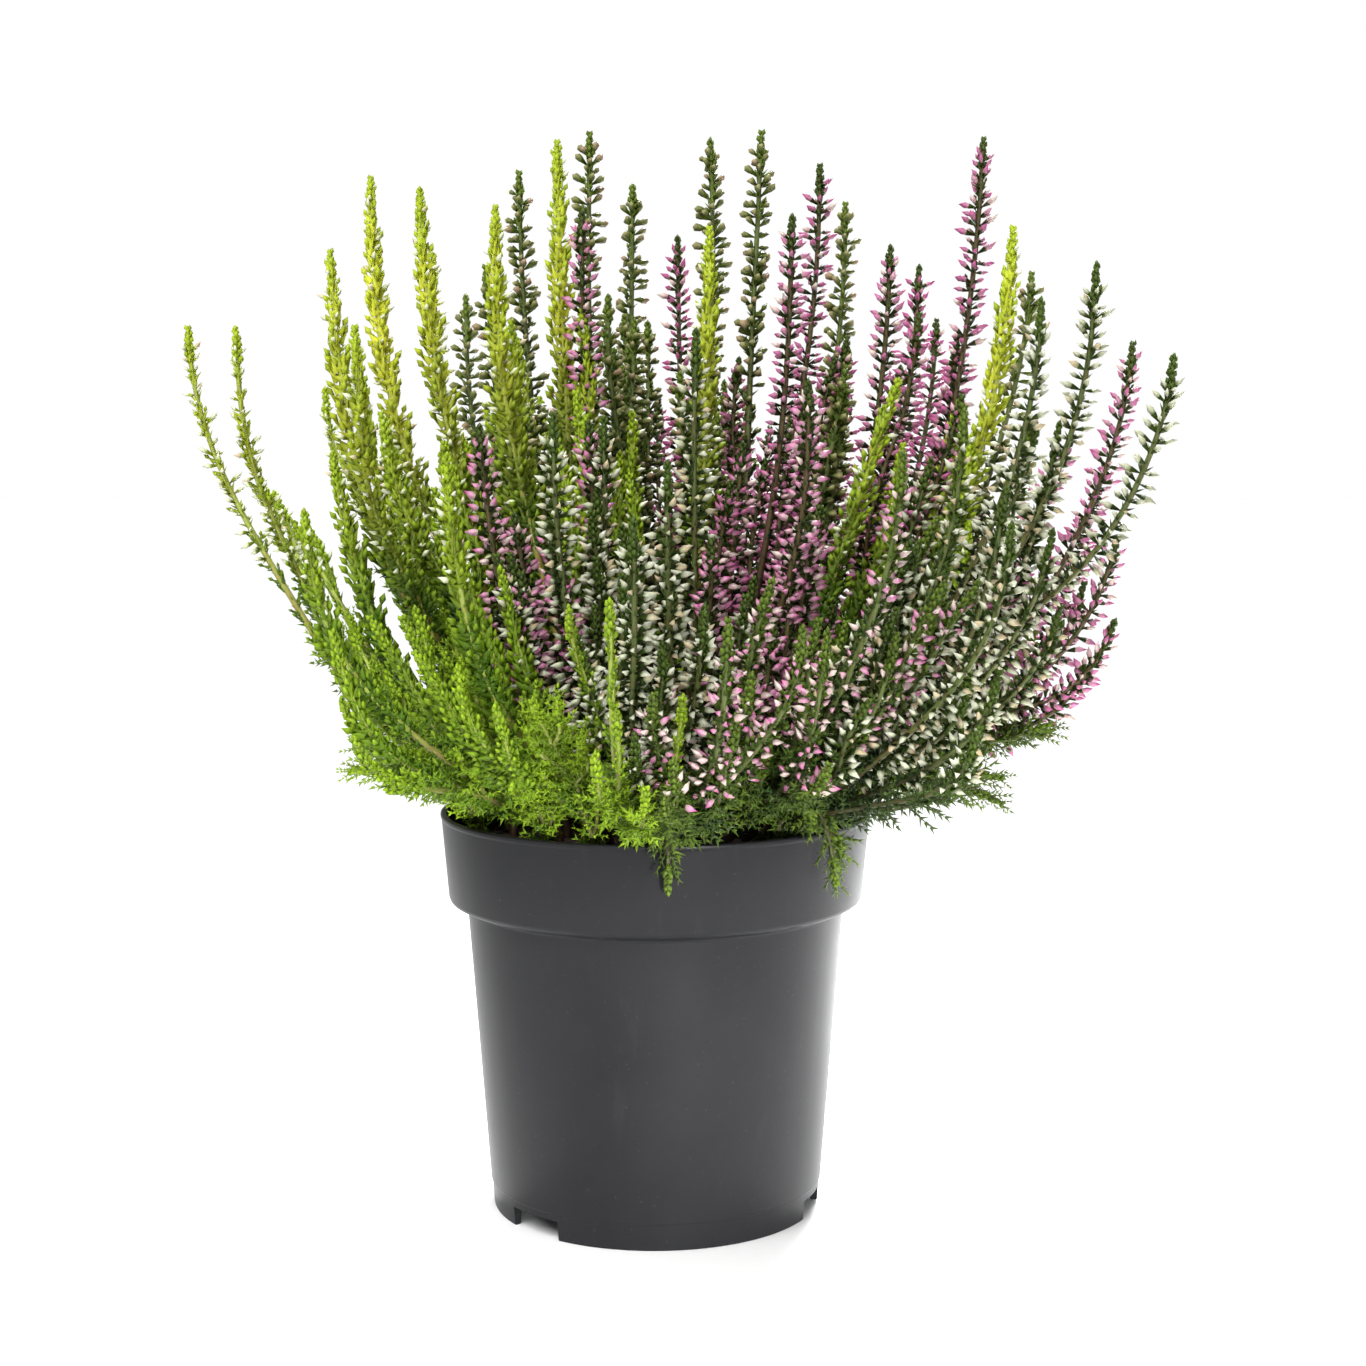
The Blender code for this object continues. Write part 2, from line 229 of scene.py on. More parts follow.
class HeatherWhite(bpy.types.PropertyGroup):
    __annotations__ = variety(
        (0.004, 0.010, 0.001), (0.013, 0.031, 0.003), (0.07, 0.12, 0.010), (0.055, 0.085, 0.013),
        (0.14, 0.06, 0.022), (0.10, 0.135, 0.028), (0.10, 0.13, 0.035), (0.56, 0.58, 0.42),
        (0.74, 0.74, 0.62), (0.56, 0.43, 0.25), (0.34, 0.34, 0.18),
    )


class HeatherPink(bpy.types.PropertyGroup):
    __annotations__ = variety(
        (0.004, 0.009, 0.001), (0.014, 0.030, 0.003), (0.06, 0.10, 0.010), (0.040, 0.048, 0.012),
        (0.07, 0.024, 0.013), (0.10, 0.075, 0.022), (0.50, 0.42, 0.34), (0.64, 0.28, 0.43),
        (0.45, 0.03, 0.23), (0.74, 0.64, 0.54), (0.36, 0.02, 0.18),
    )


class HeatherGreen(bpy.types.PropertyGroup):
    __annotations__ = variety(
        (0.004, 0.010, 0.001), (0.018, 0.045, 0.003), (0.13, 0.20, 0.016), (0.13, 0.17, 0.025),
        (0.08, 0.04, 0.02), (0.12, 0.16, 0.035), (0.07, 0.10, 0.02), (0.15, 0.17, 0.042), (0.36, 0.32, 0.15),
        (0.40, 0.26, 0.17), (0.13, 0.15, 0.038),
    )


class HeatherStage(bpy.types.PropertyGroup):
    distance: length("Camera distance", "From the pot's axis to the camera", 660 * MM)
    height: length("Camera height", "Height of the camera above the floor", 220 * MM)
    aside: length("Camera offset", "How far right of the pot's axis the camera stands", 7.7 * MM)
    pitch: number("Pitch", "How far the camera looks down", math.radians(6.3), subtype="ANGLE")
    lens: number("Lens", "Focal length in millimetres on a 36 mm sensor", 62.86)
    floor: colour("Floor", "Colour of the plain floor", (0.90, 0.90, 0.90))
    backdrop: number("Backdrop", "Strength of the light from behind", 1.0)
    sides: number("Sides", "Strength of the light from the sides and front", 0.30)
    zenith: number("Zenith", "Share of the light that is left straight above", 0.5)
    key: number("Key", "Strength of the soft light from the upper left at the front", 4.0)


GROUPS = {
    "pot": HeatherPot, "soil": HeatherSoil, "lime": HeatherLime, "white": HeatherWhite, "pink": HeatherPink,
    "green": HeatherGreen, "stage": HeatherStage,
}


class HeatherSettings(bpy.types.PropertyGroup):
    __annotations__ = {name: PointerProperty(type=group) for name, group in GROUPS.items()}


# Node graphs

def math_operator(operation):
    """A method that adds a Math node of that operation."""
    def method(self, other):
        return self.math(operation, other)
    return method


class Wire:
    """An output socket. Python's operators on it add Math nodes, in a shader or a geometry tree."""

    def __init__(self, graph, socket):
        self.graph, self.socket = graph, socket

    def math(self, operation, *others):
        inputs = dict(enumerate((self, *others)))
        return self.graph.add("ShaderNodeMath", inputs, operation=operation).out()

    __add__ = __radd__ = math_operator("ADD")
    __sub__ = math_operator("SUBTRACT")
    __mul__ = __rmul__ = math_operator("MULTIPLY")
    __truediv__ = math_operator("DIVIDE")
    __gt__ = math_operator("GREATER_THAN")
    __lt__ = math_operator("LESS_THAN")

    def __rsub__(self, other):
        return self.graph.add("ShaderNodeMath", {0: other, 1: self}, operation="SUBTRACT").out()

    def clamped(self):
        return self.graph.add("ShaderNodeClamp", {"Value": self}).out()


class Node:
    """A node of a graph, whose outputs are read by name."""

    def __init__(self, graph, node):
        self.graph, self.node = graph, node

    def out(self, name=None):
        for socket in self.node.outputs:
            if socket.enabled and name in (None, socket.name):
                return Wire(self.graph, socket)
        raise KeyError(name)


class Graph:
    """Adds nodes to a tree, each with the values or links of its sockets and then its settings by name."""

    def __init__(self, tree):
        self.tree = tree

    def socket(self, node, key):
        if isinstance(key, int):
            return node.inputs[key]
        for socket in node.inputs:
            if socket.enabled and socket.name == key:
                return socket
        raise KeyError(f"{node.bl_idname} has no input {key}")

    def add(self, kind, inputs=None, **settings):
        node = self.tree.nodes.new(kind)
        for name, value in settings.items():
            setattr(node, name, value)
        for key, value in (inputs or {}).items():
            socket = self.socket(node, key)
            for item in value if isinstance(value, list) else [value]:
                if isinstance(item, Wire):
                    self.tree.links.new(item.socket, socket)
                elif socket.type == "RGBA" and len(item) == 3:
                    socket.default_value = (*item, 1)
                else:
                    socket.default_value = item
        return Node(self, node)

    def slope(self, value, low, high, first=0, last=1):
        """first at low, last at high, a straight slope between them, and level beyond them."""
        inputs = {"Value": value, "From Min": low, "From Max": high, "To Min": first, "To Max": last}
        return self.add("ShaderNodeMapRange", inputs, clamp=True).out()

    def axis(self, vector, name):
        return self.add("ShaderNodeSeparateXYZ", {0: vector}).out(name)


class Paint(Graph):
    """A material's graph, with the few patterns that the finishes share."""

    def __init__(self, name):
        self.material = bpy.data.materials.new(name)
        self.material.use_nodes = True
        super().__init__(self.material.node_tree)
        self.tree.nodes.clear()
        self.place = self.add("ShaderNodeTexCoord").out("Object")

    def attribute(self, name):
        return self.add("ShaderNodeAttribute", attribute_name=name).out("Fac")

    def noise(self, scale, detail=3, roughness=0.55, place=None):
        inputs = {"Vector": place or self.place, "Scale": scale, "Detail": detail, "Roughness": roughness}
        return self.add("ShaderNodeTexNoise", inputs).out("Fac")

    def stretched(self, *scale):
        return self.add("ShaderNodeVectorMath", {0: self.place, 1: scale}, operation="MULTIPLY").out()

    def blend(self, share, low, high):
        """low where share is 0 and high where it is 1. The Mix node's colours are its sockets 6 and 7."""
        mixed = self.add("ShaderNodeMix", {0: share, 6: low, 7: high}, data_type="RGBA")
        return Wire(self, mixed.node.outputs[2])

    def bump(self, height, strength, distance):
        inputs = {"Height": height, "Strength": strength, "Distance": distance}
        return self.add("ShaderNodeBump", inputs).out()

    def finish(self, inputs):
        """The material, with those inputs of its Principled shader."""
        shader = self.add("ShaderNodeBsdfPrincipled", inputs).out("BSDF")
        self.add("ShaderNodeOutputMaterial", {"Surface": shader})
        return self.material


# Finishes

SPIKES_Z = (170 * MM, 260 * MM)  # over this stretch the plant turns from its bushy part to its spikes
FOOT_BARK_Z = (150 * MM, 115 * MM)  # down this stretch a stem turns as dark as at its foot
FOOT_BARK = (0.03, 0.018, 0.009)


def plastic_finish(pot):
    """Dark moulded plastic with a soft shine, a fine grain and faint rubbed marks."""
    paint = Paint("pot_plastic")
    grain = paint.noise(1400, 2)
    cloud = paint.noise(22, 4)
    rubbed = paint.slope(paint.noise(170, 5, 0.7, paint.stretched(1, 1, 0.22)), 0.60, 0.80)
    specks = paint.slope(paint.noise(900, 1), 0.72, 0.80)
    worn = paint.slope(cloud, 0.3, 0.75) * 0.10 + rubbed * 0.10 + specks * 0.30
    return paint.finish({
        "Base Color": paint.blend(worn, pot.plastic, pot.scuff),
        "Roughness": 0.34 + cloud * 0.10 + rubbed * 0.10,
        "Specular IOR Level": 0.12,
        "Normal": paint.bump(grain, 0.10, 0.00008),
    })


def soil_finish(soil):
    """Moist dark compost with paler fibres and crumbs."""
    paint = Paint("soil")
    lumps = paint.noise(320, 6, 0.65)
    fibres = paint.slope(paint.noise(260, 2, 0.5, paint.stretched(1, 0.25, 1)), 0.56, 0.72)
    return paint.finish({
        "Base Color": paint.blend(paint.slope(lumps, 0.35, 0.8) * 0.5 + fibres * 0.5, soil.dark, soil.light),
        "Roughness": 0.80 + lumps * 0.15,
        "Normal": paint.bump(lumps, 0.6, 0.0006),
    })


def needle_finish(name, kind):
    """Needles: dark and old low in the bush, with painted shade deep inside it, fresh at the growing tips,
    each a little different.
    """
    paint = Paint(f"{name}_needles")
    tone = paint.attribute("tone")
    along = paint.attribute("along")
    to_tip = paint.attribute("to_tip")
    patch = paint.noise(60, 2)
    high = paint.slope(paint.axis(paint.place, "Z"), *SPIKES_Z)
    age = paint.slope(to_tip + (tone - 0.5) * 0.03 + (patch - 0.5) * 0.05, 0.06, 0.17)
    youth = 1 - paint.slope(to_tip + (tone - 0.5) * 0.01, 0.006, 0.05)
    base = paint.blend(high * 0.85, kind.leaf, kind.leaf_high)
    # painted shade: the farther inside the bush a needle is from its outer face, the more it is blended to
    # the old needles' colour, less so high up
    deep = (1 - paint.attribute("cover")) * (0.9 - high * 0.6)
    base = paint.blend((age * 0.7 + deep).clamped(), base, kind.leaf_old)
    fresh = youth * 0.45 + along * along * 0.55 + (patch - 0.5) * 0.5 - age * 0.15
    base = paint.blend(fresh.clamped(), base, kind.leaf_young)
    base = paint.blend(paint.slope(tone, 0.5, 0) * (0.5 - high * 0.2), base, kind.leaf_old)
    return paint.finish({"Base Color": base, "Roughness": 0.42 + tone * 0.16, "Specular IOR Level": 0.25})


def stem_finish(name, kind):
    """Bark: green and smooth near the tip, brown and fissured towards the soil."""
    paint = Paint(f"{name}_stems")
    to_tip = paint.attribute("to_tip")
    streaks = paint.noise(500, 3, 0.6, paint.stretched(1, 1, 0.2))
    wood = paint.slope(to_tip + (streaks - 0.5) * 0.05, 0.05, 0.14)
    base = paint.blend(wood, kind.stem_young, kind.stem_old)
    base = paint.blend(paint.slope(streaks, 0.45, 0.75) * 0.45, base, kind.stem_old)
    low = paint.slope(paint.axis(paint.place, "Z"), *FOOT_BARK_Z)
    return paint.finish({
        "Base Color": paint.blend(low * 0.85, base, FOOT_BARK),
        "Roughness": 0.5 + streaks * 0.2,
        "Normal": paint.bump(streaks, 0.35, 0.0002),
    })


def bud_finish(name, kind, odd):
    """Closed buds: a tinted base, a paler or deeper body and point, a faint blush, and some odd ones."""
    paint = Paint(f"{name}_buds")
    tone = paint.attribute("tone")
    along = paint.attribute("along")
    blush = paint.noise(420, 2)
    body = paint.blend(paint.slope(along, 0.12, 0.45), kind.bud_base, kind.bud)
    deep = paint.attribute("shade") * (paint.slope(along, 0.15, 0.5) * 0.35 + 0.45)
    body = paint.blend(deep, body, kind.bud_deep)
    body = paint.blend(paint.slope(along + (blush - 0.5) * 0.5, 0.55, 0.95), body, kind.bud_tip)
    other = paint.slope(tone, 1 - odd - 0.06, 1 - odd + 0.06)
    body = paint.blend(other * paint.slope(along, 0.1, 0.6) * 0.9, body, kind.bud_other)
    body = paint.blend(paint.slope(blush, 0.35, 0.8) * 0.22, body, kind.bud_base)
    return paint.finish({"Base Color": body, "Roughness": 0.40 + blush * 0.20, "Specular IOR Level": 0.3})


# Meshes

def up(z):
    return Vector((0, 0, z))


def flat(point):
    """The point, or its offset from the pot's axis, without its height."""
    return Vector((point.x, point.y, 0))


def shade_smooth(bm):
    for face in bm.faces:
        face.smooth = True


def object_from(bm, name, material=None):
    """An object that holds the mesh, which is freed."""
    mesh = bpy.data.meshes.new(name)
    bm.to_mesh(mesh)
    bm.free()
    obj = bpy.data.objects.new(name, mesh)
    if material:
        mesh.materials.append(material)
    bpy.context.scene.collection.objects.link(obj)
    return obj


def front_turned(angle, radius, z):
    """The point at that angle in degrees from the front, positive to the right."""
    turn = math.radians(angle)
    return Vector((radius * math.sin(turn), -radius * math.cos(turn), z))


def turned(bm, profile, sides):
    """Adds the closed solid that the (radius, z) profile makes about Z. It starts and ends on the axis."""
    rings = []
    for radius, z in profile:
        if radius == 0:
            rings.append([bm.verts.new((0, 0, z))] * sides)
            continue
        rings.append([bm.verts.new(front_turned(360 * i / sides, radius, z)) for i in range(sides)])
    for lower, upper in zip(rings, rings[1:]):
        for i in range(sides):
            j = (i + 1) % sides
            bm.faces.new(dict.fromkeys((lower[i], lower[j], upper[j], upper[i])))
    bmesh.ops.recalc_face_normals(bm, faces=bm.faces)


def rounded(corners, steps=2):
    """The profile with each (radius, z, fillet) corner turned into an arc-like run of points."""
    points = []
    for i, (radius, z, fillet) in enumerate(corners):
        here = Vector((radius, z))
        if fillet == 0 or i in (0, len(corners) - 1):
            points.append((radius, z))
            continue
        before = here + (Vector(corners[i - 1][:2]) - here).normalized() * fillet
        after = here + (Vector(corners[i + 1][:2]) - here).normalized() * fillet
        for step in range(steps + 1):
            t = step / steps
            point = before * (1 - t) ** 2 + here * 2 * t * (1 - t) + after * t**2
            points.append((point.x, point.y))
    return points


def body_radius(z):
    """The outer radius of the pot's tapered body at a height."""
    return BODY_FOOT_RADIUS + (BODY_TOP_RADIUS - BODY_FOOT_RADIUS) * z / BAND_FOOT_Z


def pot_profile():
    """The pot's section: up its inner wall from the floor's middle, over the rim, and down the outside."""
    floor_top = BASE_RAISE + WALL
    seam = body_radius(SEAM_Z)
    ring = BODY_FOOT_RADIUS - SEAM_STEP
    return rounded([
        (0, floor_top, 0),
        (body_radius(floor_top) - WALL, floor_top, 2 * MM),
        (BODY_TOP_RADIUS - WALL, BAND_FOOT_Z, 0.5 * MM),
        (BAND_FOOT_RADIUS - WALL, BAND_FOOT_Z + 1.5 * WALL, 0.8 * MM),
        (RIM_RADIUS - 1.4 * WALL, POT_HEIGHT - 0.2 * WALL, 0.3 * MM),
        (RIM_RADIUS - 0.7 * WALL, POT_HEIGHT, 0.3 * MM),
        (RIM_RADIUS, POT_HEIGHT - 0.3 * WALL, 0.35 * MM),
        (RIM_RADIUS - 0.1 * MM, POT_HEIGHT - 1.4 * MM, 0.3 * MM),
        (RIM_RADIUS - 0.35 * MM, POT_HEIGHT - 1.7 * MM, 0.2 * MM),
        (BAND_FOOT_RADIUS, BAND_FOOT_Z + 0.6 * WALL, 1.3 * MM),
        (BODY_TOP_RADIUS + 0.6 * MM, BAND_FOOT_Z - 0.3 * WALL, 0.8 * MM),
        (BODY_TOP_RADIUS - 0.1 * MM, BAND_FOOT_Z - 1.2 * MM, 0.5 * MM),
        (seam, SEAM_Z + 0.1 * MM, 0.15 * MM),
        (seam - SEAM_STEP, SEAM_Z - 0.2 * MM, 0.15 * MM),
        (ring, 0, 0.5 * MM),
        (ring - FOOT_RING_WIDTH, 0, 0.4 * MM),
        (ring - FOOT_RING_WIDTH - 0.2 * MM, BASE_RAISE, 0.6 * MM),
        (0, BASE_RAISE, 0),
    ])


def fit_modifier(obj, kind, **settings):
    modifier = obj.modifiers.new(kind.title(), kind)
    for name, value in settings.items():
        setattr(modifier, name, value)
    return modifier


def baked(obj):
    """The object with its modifiers made part of a plain mesh."""
    graph = bpy.context.evaluated_depsgraph_get()
    mesh = bpy.data.meshes.new_from_object(obj.evaluated_get(graph))
    mesh.name = obj.name
    obj.modifiers.clear()
    obj.data = mesh
    return obj


def discard(*objects):
    for obj in objects:
        bpy.data.objects.remove(obj, do_unlink=True)


# Templates that the sprays repeat. Each grows up +Z from the origin.

def axes_across(ahead):
    """Two unit vectors square to a direction, the first of them level."""
    side = ahead.cross(Vector((0.1, 0.2, 1))).normalized()
    return side, ahead.normalized().cross(side)


def ring_at(bm, along, centre, axes, radii, sides, value):
    """A ring of vertices round a centre, as wide and as thick as the two radii."""
    ring = []
    for i in range(sides):
        turn = 2 * math.pi * i / sides
        out = axes[0] * math.cos(turn) * radii[0] + axes[1] * math.sin(turn) * radii[1]
        vert = bm.verts.new(centre + out)
        vert[along] = value
        ring.append(vert)
    return ring


def spike(bm, along, foot, ahead, radii, span=(0, 1)):
    """Adds a pointed leaf of three sides, with its open foot sunk in what it grows from."""
    ring = ring_at(bm, along, foot, axes_across(ahead), radii, 3, span[0])
    point = bm.verts.new(foot + ahead)
    point[along] = span[1]
    for i in range(3):
        bm.faces.new((ring[i], ring[(i + 1) % 3], point))


def spindle(bm, along, foot, ahead, rings, sides, span=(0, 1), sunk=False):
    """Adds a spindle with rings of (share of its length, radius, radius). A sunk one is open at its foot."""
    axes = axes_across(ahead)
    if not sunk:
        first = bm.verts.new(foot)
        first[along] = span[0]
    made = []
    for share, wide, thick in rings:
        value = span[0] + (span[1] - span[0]) * share
        made.append(ring_at(bm, along, foot + ahead * share, axes, (wide, thick), sides, value))
    last = bm.verts.new(foot + ahead)
    last[along] = span[1]
    for i in range(sides):
        j = (i + 1) % sides
        if not sunk:
            bm.faces.new((first, made[0][j], made[0][i]))
        for lower, upper in zip(made, made[1:]):
            bm.faces.new((lower[i], lower[j], upper[j], upper[i]))
        bm.faces.new((made[-1][i], made[-1][j], last))


def template(name, build):
    """A hidden object made by build(bm, along) that the sprays' trees read."""
    bm = bmesh.new()
    along = bm.verts.layers.float.new("along")
    build(bm, along)
    shade_smooth(bm)
    obj = object_from(bm, name)
    obj.hide_render = True
    return obj


def tilted(angle, turn):
    """A unit vector leaning that far from +Z, towards that turn about it."""
    return Vector((math.sin(angle) * math.cos(turn), math.sin(angle) * math.sin(turn), math.cos(angle)))


def twig_template(name, size, leaf, levels, seed):
    """A side shoot: pairs of needles, each pair turned a quarter from the last, closing up at the tip."""
    def build(bm, along):
        draw = random.Random(seed)
        spike(bm, along, Vector(), up(size), (0.38 * MM, 0.38 * MM), (0, 0.6))
        for level in range(levels):
            share = (level + 0.6) / levels
            foot = up(size * share * 0.9)
            for half in (0, math.pi):
                turn = level * math.pi / 2 + half + draw.uniform(-0.3, 0.3)
                closing = 0.98 * (1 - 0.6 * share**3) * draw.uniform(0.85, 1.15)
                reach = leaf * (0.80 + 0.28 * math.sin(math.pi * share)) * draw.uniform(0.88, 1.1)
                span = (0.55 * share, 0.55 * share + 0.45)
                spike(bm, along, foot, tilted(closing, turn) * reach, (0.50 * MM, 0.32 * MM), span)
    return template(name, build)


def club_template():
    """A short side shoot whose blunt leaves lie close to it."""
    def build(bm, along):
        draw = random.Random(11)
        for level in range(2):
            foot = up((0.2 + level * 1.4) * MM)
            for half in (0, math.pi):
                turn = level * math.pi / 2 + half + draw.uniform(-0.2, 0.2)
                ahead = tilted(math.radians(30 - 8 * level), turn) * draw.uniform(2.2, 2.5) * MM
                spike(bm, along, foot, ahead, (0.84 * MM, 0.58 * MM), (0.25 * level, 0.25 * level + 0.4))
        ring = ((0.55, 0.74 * MM, 0.62 * MM),)
        spindle(bm, along, up(2.8 * MM), up(2.6 * MM), ring, 3, (0.4, 1))
    return template("club_template", build)


def scale_template():
    """One blunt leaf that lies close to the tip of a shoot."""
    def build(bm, along):
        spindle(bm, along, Vector(), up(2.9 * MM), ((0.62, 1.05 * MM, 0.85 * MM),), 3)
    return template("scale_template", build)


def leaf_template():
    """One pointed leaf of a stem."""
    def build(bm, along):
        spike(bm, along, Vector(), up(3.2 * MM), (0.66 * MM, 0.40 * MM))
    return template("leaf_template", build)


def bud_template(name, size, wide, rings, sides):
    """A closed bud, whose open foot sits in its calyx."""
    def build(bm, along):
        profile = [(share, wide * part, wide * part) for share, part in rings]
        spindle(bm, along, up(STALK), up(size), profile, sides, sunk=True)
    return template(name, build)


def calyx_template(wide):
    """The stalk of a bud, which widens to the green cup that holds it."""
    def build(bm, along):
        foot = bm.verts.new((0, 0, 0))
        foot[along] = 0
        ring = ring_at(bm, along, up(1.3 * STALK), axes_across(up(1)), (wide, wide), 3, 0.6)
        for i in range(3):
            bm.faces.new((foot, ring[(i + 1) % 3], ring[i]))
    return template("calyx_template", build)


# The tree that grows a spray along its centre lines

TREE_INPUTS = {
    "NodeSocketFloat": (
        "Bud Spacing", "Bud Share", "Bud Size", "Bud Floor", "Club Share", "Club Size", "Club Spacing",
        "Twig Spacing", "Droop", "Scale Length", "Leaf Spacing",
    ),
    "NodeSocketInt": ("Buds Per Level", "Twigs Per Level", "Seed"),
    "NodeSocketObject": ("Bud", "Calyx", "Club", "Scale", "Leaf", "Short Twig", "Middle Twig", "Long Twig"),
    "NodeSocketMaterial": ("Needles", "Stems", "Buds"),
}
GOLDEN_TURN = 2.39996
QUARTER_TURN = math.pi / 2


class Growth(Graph):
    """The geometry tree of a spray."""

    def __init__(self):
        tree = bpy.data.node_groups.new("Heather Spray", "GeometryNodeTree")
        super().__init__(tree)
        tree.interface.new_socket("Geometry", in_out="INPUT", socket_type="NodeSocketGeometry")
        for kind, names in TREE_INPUTS.items():
            for name in names:
                tree.interface.new_socket(name, in_out="INPUT", socket_type=kind)
        tree.interface.new_socket("Geometry", in_out="OUTPUT", socket_type="NodeSocketGeometry")
        self.given = self.add("NodeGroupInput").out
        self.height = self.axis(self.add("GeometryNodeInputPosition").out(), "Z")
        self.curve = self.add("GeometryNodeMeshToCurve", {"Mesh": self.given("Geometry")}).out()
        self.salt = 0

    def named(self, name):
        return self.add("GeometryNodeInputNamedAttribute", {"Name": name}, data_type="FLOAT").out("Attribute")

    def stored(self, geometry, domain, name, value):
        """The geometry with a named attribute added."""
        inputs = {"Geometry": geometry, "Name": name, "Value": value}
        return self.add("GeometryNodeStoreNamedAttribute", inputs, data_type="FLOAT", domain=domain).out()

    def random(self, low, high):
        self.salt += 1
        inputs = {"Min": low, "Max": high, "Seed": self.given("Seed") + self.salt}
        return self.add("FunctionNodeRandomValue", inputs, data_type="FLOAT").out()

    def chance(self, share):
        """Whether a point is kept, where that share of the points is."""
        return self.random(0, 1) < share

    def dressed(self, geometry, material):
        """The geometry as one plain mesh in that material."""
        whole = self.add("GeometryNodeRealizeInstances", {"Geometry": geometry}).out()
        inputs = {"Geometry": whole, "Material": self.given(material)}
        return self.add("GeometryNodeSetMaterial", inputs).out()

    def stems(self):
        """The stem itself, a tube as thick as the lines' girth."""
        ring = self.add("GeometryNodeCurvePrimitiveCircle", {"Resolution": 4, "Radius": 1.0}).out("Curve")
        inputs = {"Curve": self.curve, "Profile Curve": ring, "Scale": self.named("girth"), "Fill Caps": True}
        return self.dressed(self.add("GeometryNodeCurveToMesh", inputs).out(), "Stems")

    def levels(self, spacing, per_level, kept, step):
        """Points at even steps along the lines, each repeated per_level times, with the turn of each."""
        inputs = {"Curve": self.curve, "Length": spacing}
        spread = self.add("GeometryNodeCurveToPoints", inputs, mode="LENGTH")
        points = self.stored(spread.out("Points"), "POINT", "level", self.add("GeometryNodeInputIndex").out())
        inputs = {"Geometry": points, "Amount": per_level}
        copies = self.add("GeometryNodeDuplicateElements", inputs, domain="POINT")
        around = copies.out("Duplicate Index") * (2 * math.pi) / per_level
        turn = around + self.named("level") * step + self.random(-0.3, 0.3)
        inputs = {"Geometry": copies.out("Geometry"), "Selection": kept}
        points = self.add("GeometryNodeSeparateGeometry", inputs, domain="POINT").out("Selection")
        return points, spread.out("Tangent"), turn

    def scatter(self, levels, shapes, tilt, size, pick=None):
        """An instance of a shape at each point, leaning that far from the line."""
        points, ahead, turn = levels
        aim = self.add("FunctionNodeAlignRotationToVector", {"Vector": ahead}, axis="Z").out()
        for axis, angle in (((0, 0, 1), turn), ((0, 1, 0), tilt)):
            by = self.add("FunctionNodeAxisAngleToRotation", {"Axis": axis, "Angle": angle}).out()
            inputs = {"Rotation": aim, "Rotate By": by}
            aim = self.add("FunctionNodeRotateRotation", inputs, rotation_space="LOCAL").out()
        parts = []
        for name in shapes:
            inputs = {"Object": self.given(name), "As Instance": True}
            parts.append(self.add("GeometryNodeObjectInfo", inputs).out("Geometry"))
        scale = self.add("ShaderNodeCombineXYZ", {0: size, 1: size, 2: size}).out()
        inputs = {"Points": points, "Rotation": aim, "Scale": scale, "Instance": parts[0]}
        if pick is not None:
            inputs["Instance"] = self.add("GeometryNodeJoinGeometry", {"Geometry": parts}).out()
            inputs["Pick Instance"] = True
            inputs["Instance Index"] = pick
        placed = self.add("GeometryNodeInstanceOnPoints", inputs).out()
        return self.stored(placed, "INSTANCE", "tone", self.random(0.0, 1.0))

    def finish(self, *parts):
        whole = self.add("GeometryNodeJoinGeometry", {"Geometry": list(parts)}).out()
        self.add("NodeGroupOutput", {"Geometry": whole})
        return self.tree


def tip_scales(grow):
    """Leaves that lie close together over the last stretch of a shoot."""
    to_tip = grow.named("to_tip")
    levels = grow.levels(0.95 * MM, 2, to_tip < grow.given("Scale Length"), QUARTER_TURN)
    tilt = grow.slope(to_tip, 0, 9 * MM, 0.30, 0.50) * grow.random(0.8, 1.2)
    size = grow.slope(to_tip, 0, 5 * MM, 0.85, 1.05) * grow.random(0.85, 1.1)
    return grow.scatter(levels, ("Scale",), tilt, size)


def clubs(grow):
    """Short side shoots in opposite pairs, small and upright near the tip."""
    to_tip = grow.named("to_tip")
    kept = (to_tip > 3.5 * MM) * (to_tip < grow.named("budded") + 12 * MM) * (grow.named("budded") > 1 * MM)
    kept = kept * grow.chance(grow.given("Club Share") + grow.slope(to_tip, 10 * MM, 22 * MM, 0.7, 0))
    size = grow.slope(to_tip, 3 * MM, 30 * MM, 0.62, 1.22) * grow.random(0.8, 1.15) * grow.given("Club Size")
    tilt = grow.slope(to_tip, 4 * MM, 60 * MM, 0.34, 0.66) * grow.random(0.8, 1.2)
    levels = grow.levels(grow.given("Club Spacing"), 3, kept, GOLDEN_TURN)
    return grow.scatter(levels, ("Club",), tilt, size)


def stem_leaves(grow):
    """Single leaves on the stem itself."""
    to_tip = grow.named("to_tip")
    kept = (to_tip > 7 * MM) * (to_tip < grow.named("budded") + 30 * MM)
    levels = grow.levels(grow.given("Leaf Spacing"), 2, kept, QUARTER_TURN)
    return grow.scatter(levels, ("Leaf",), grow.random(0.45, 0.95), grow.random(0.75, 1.15))


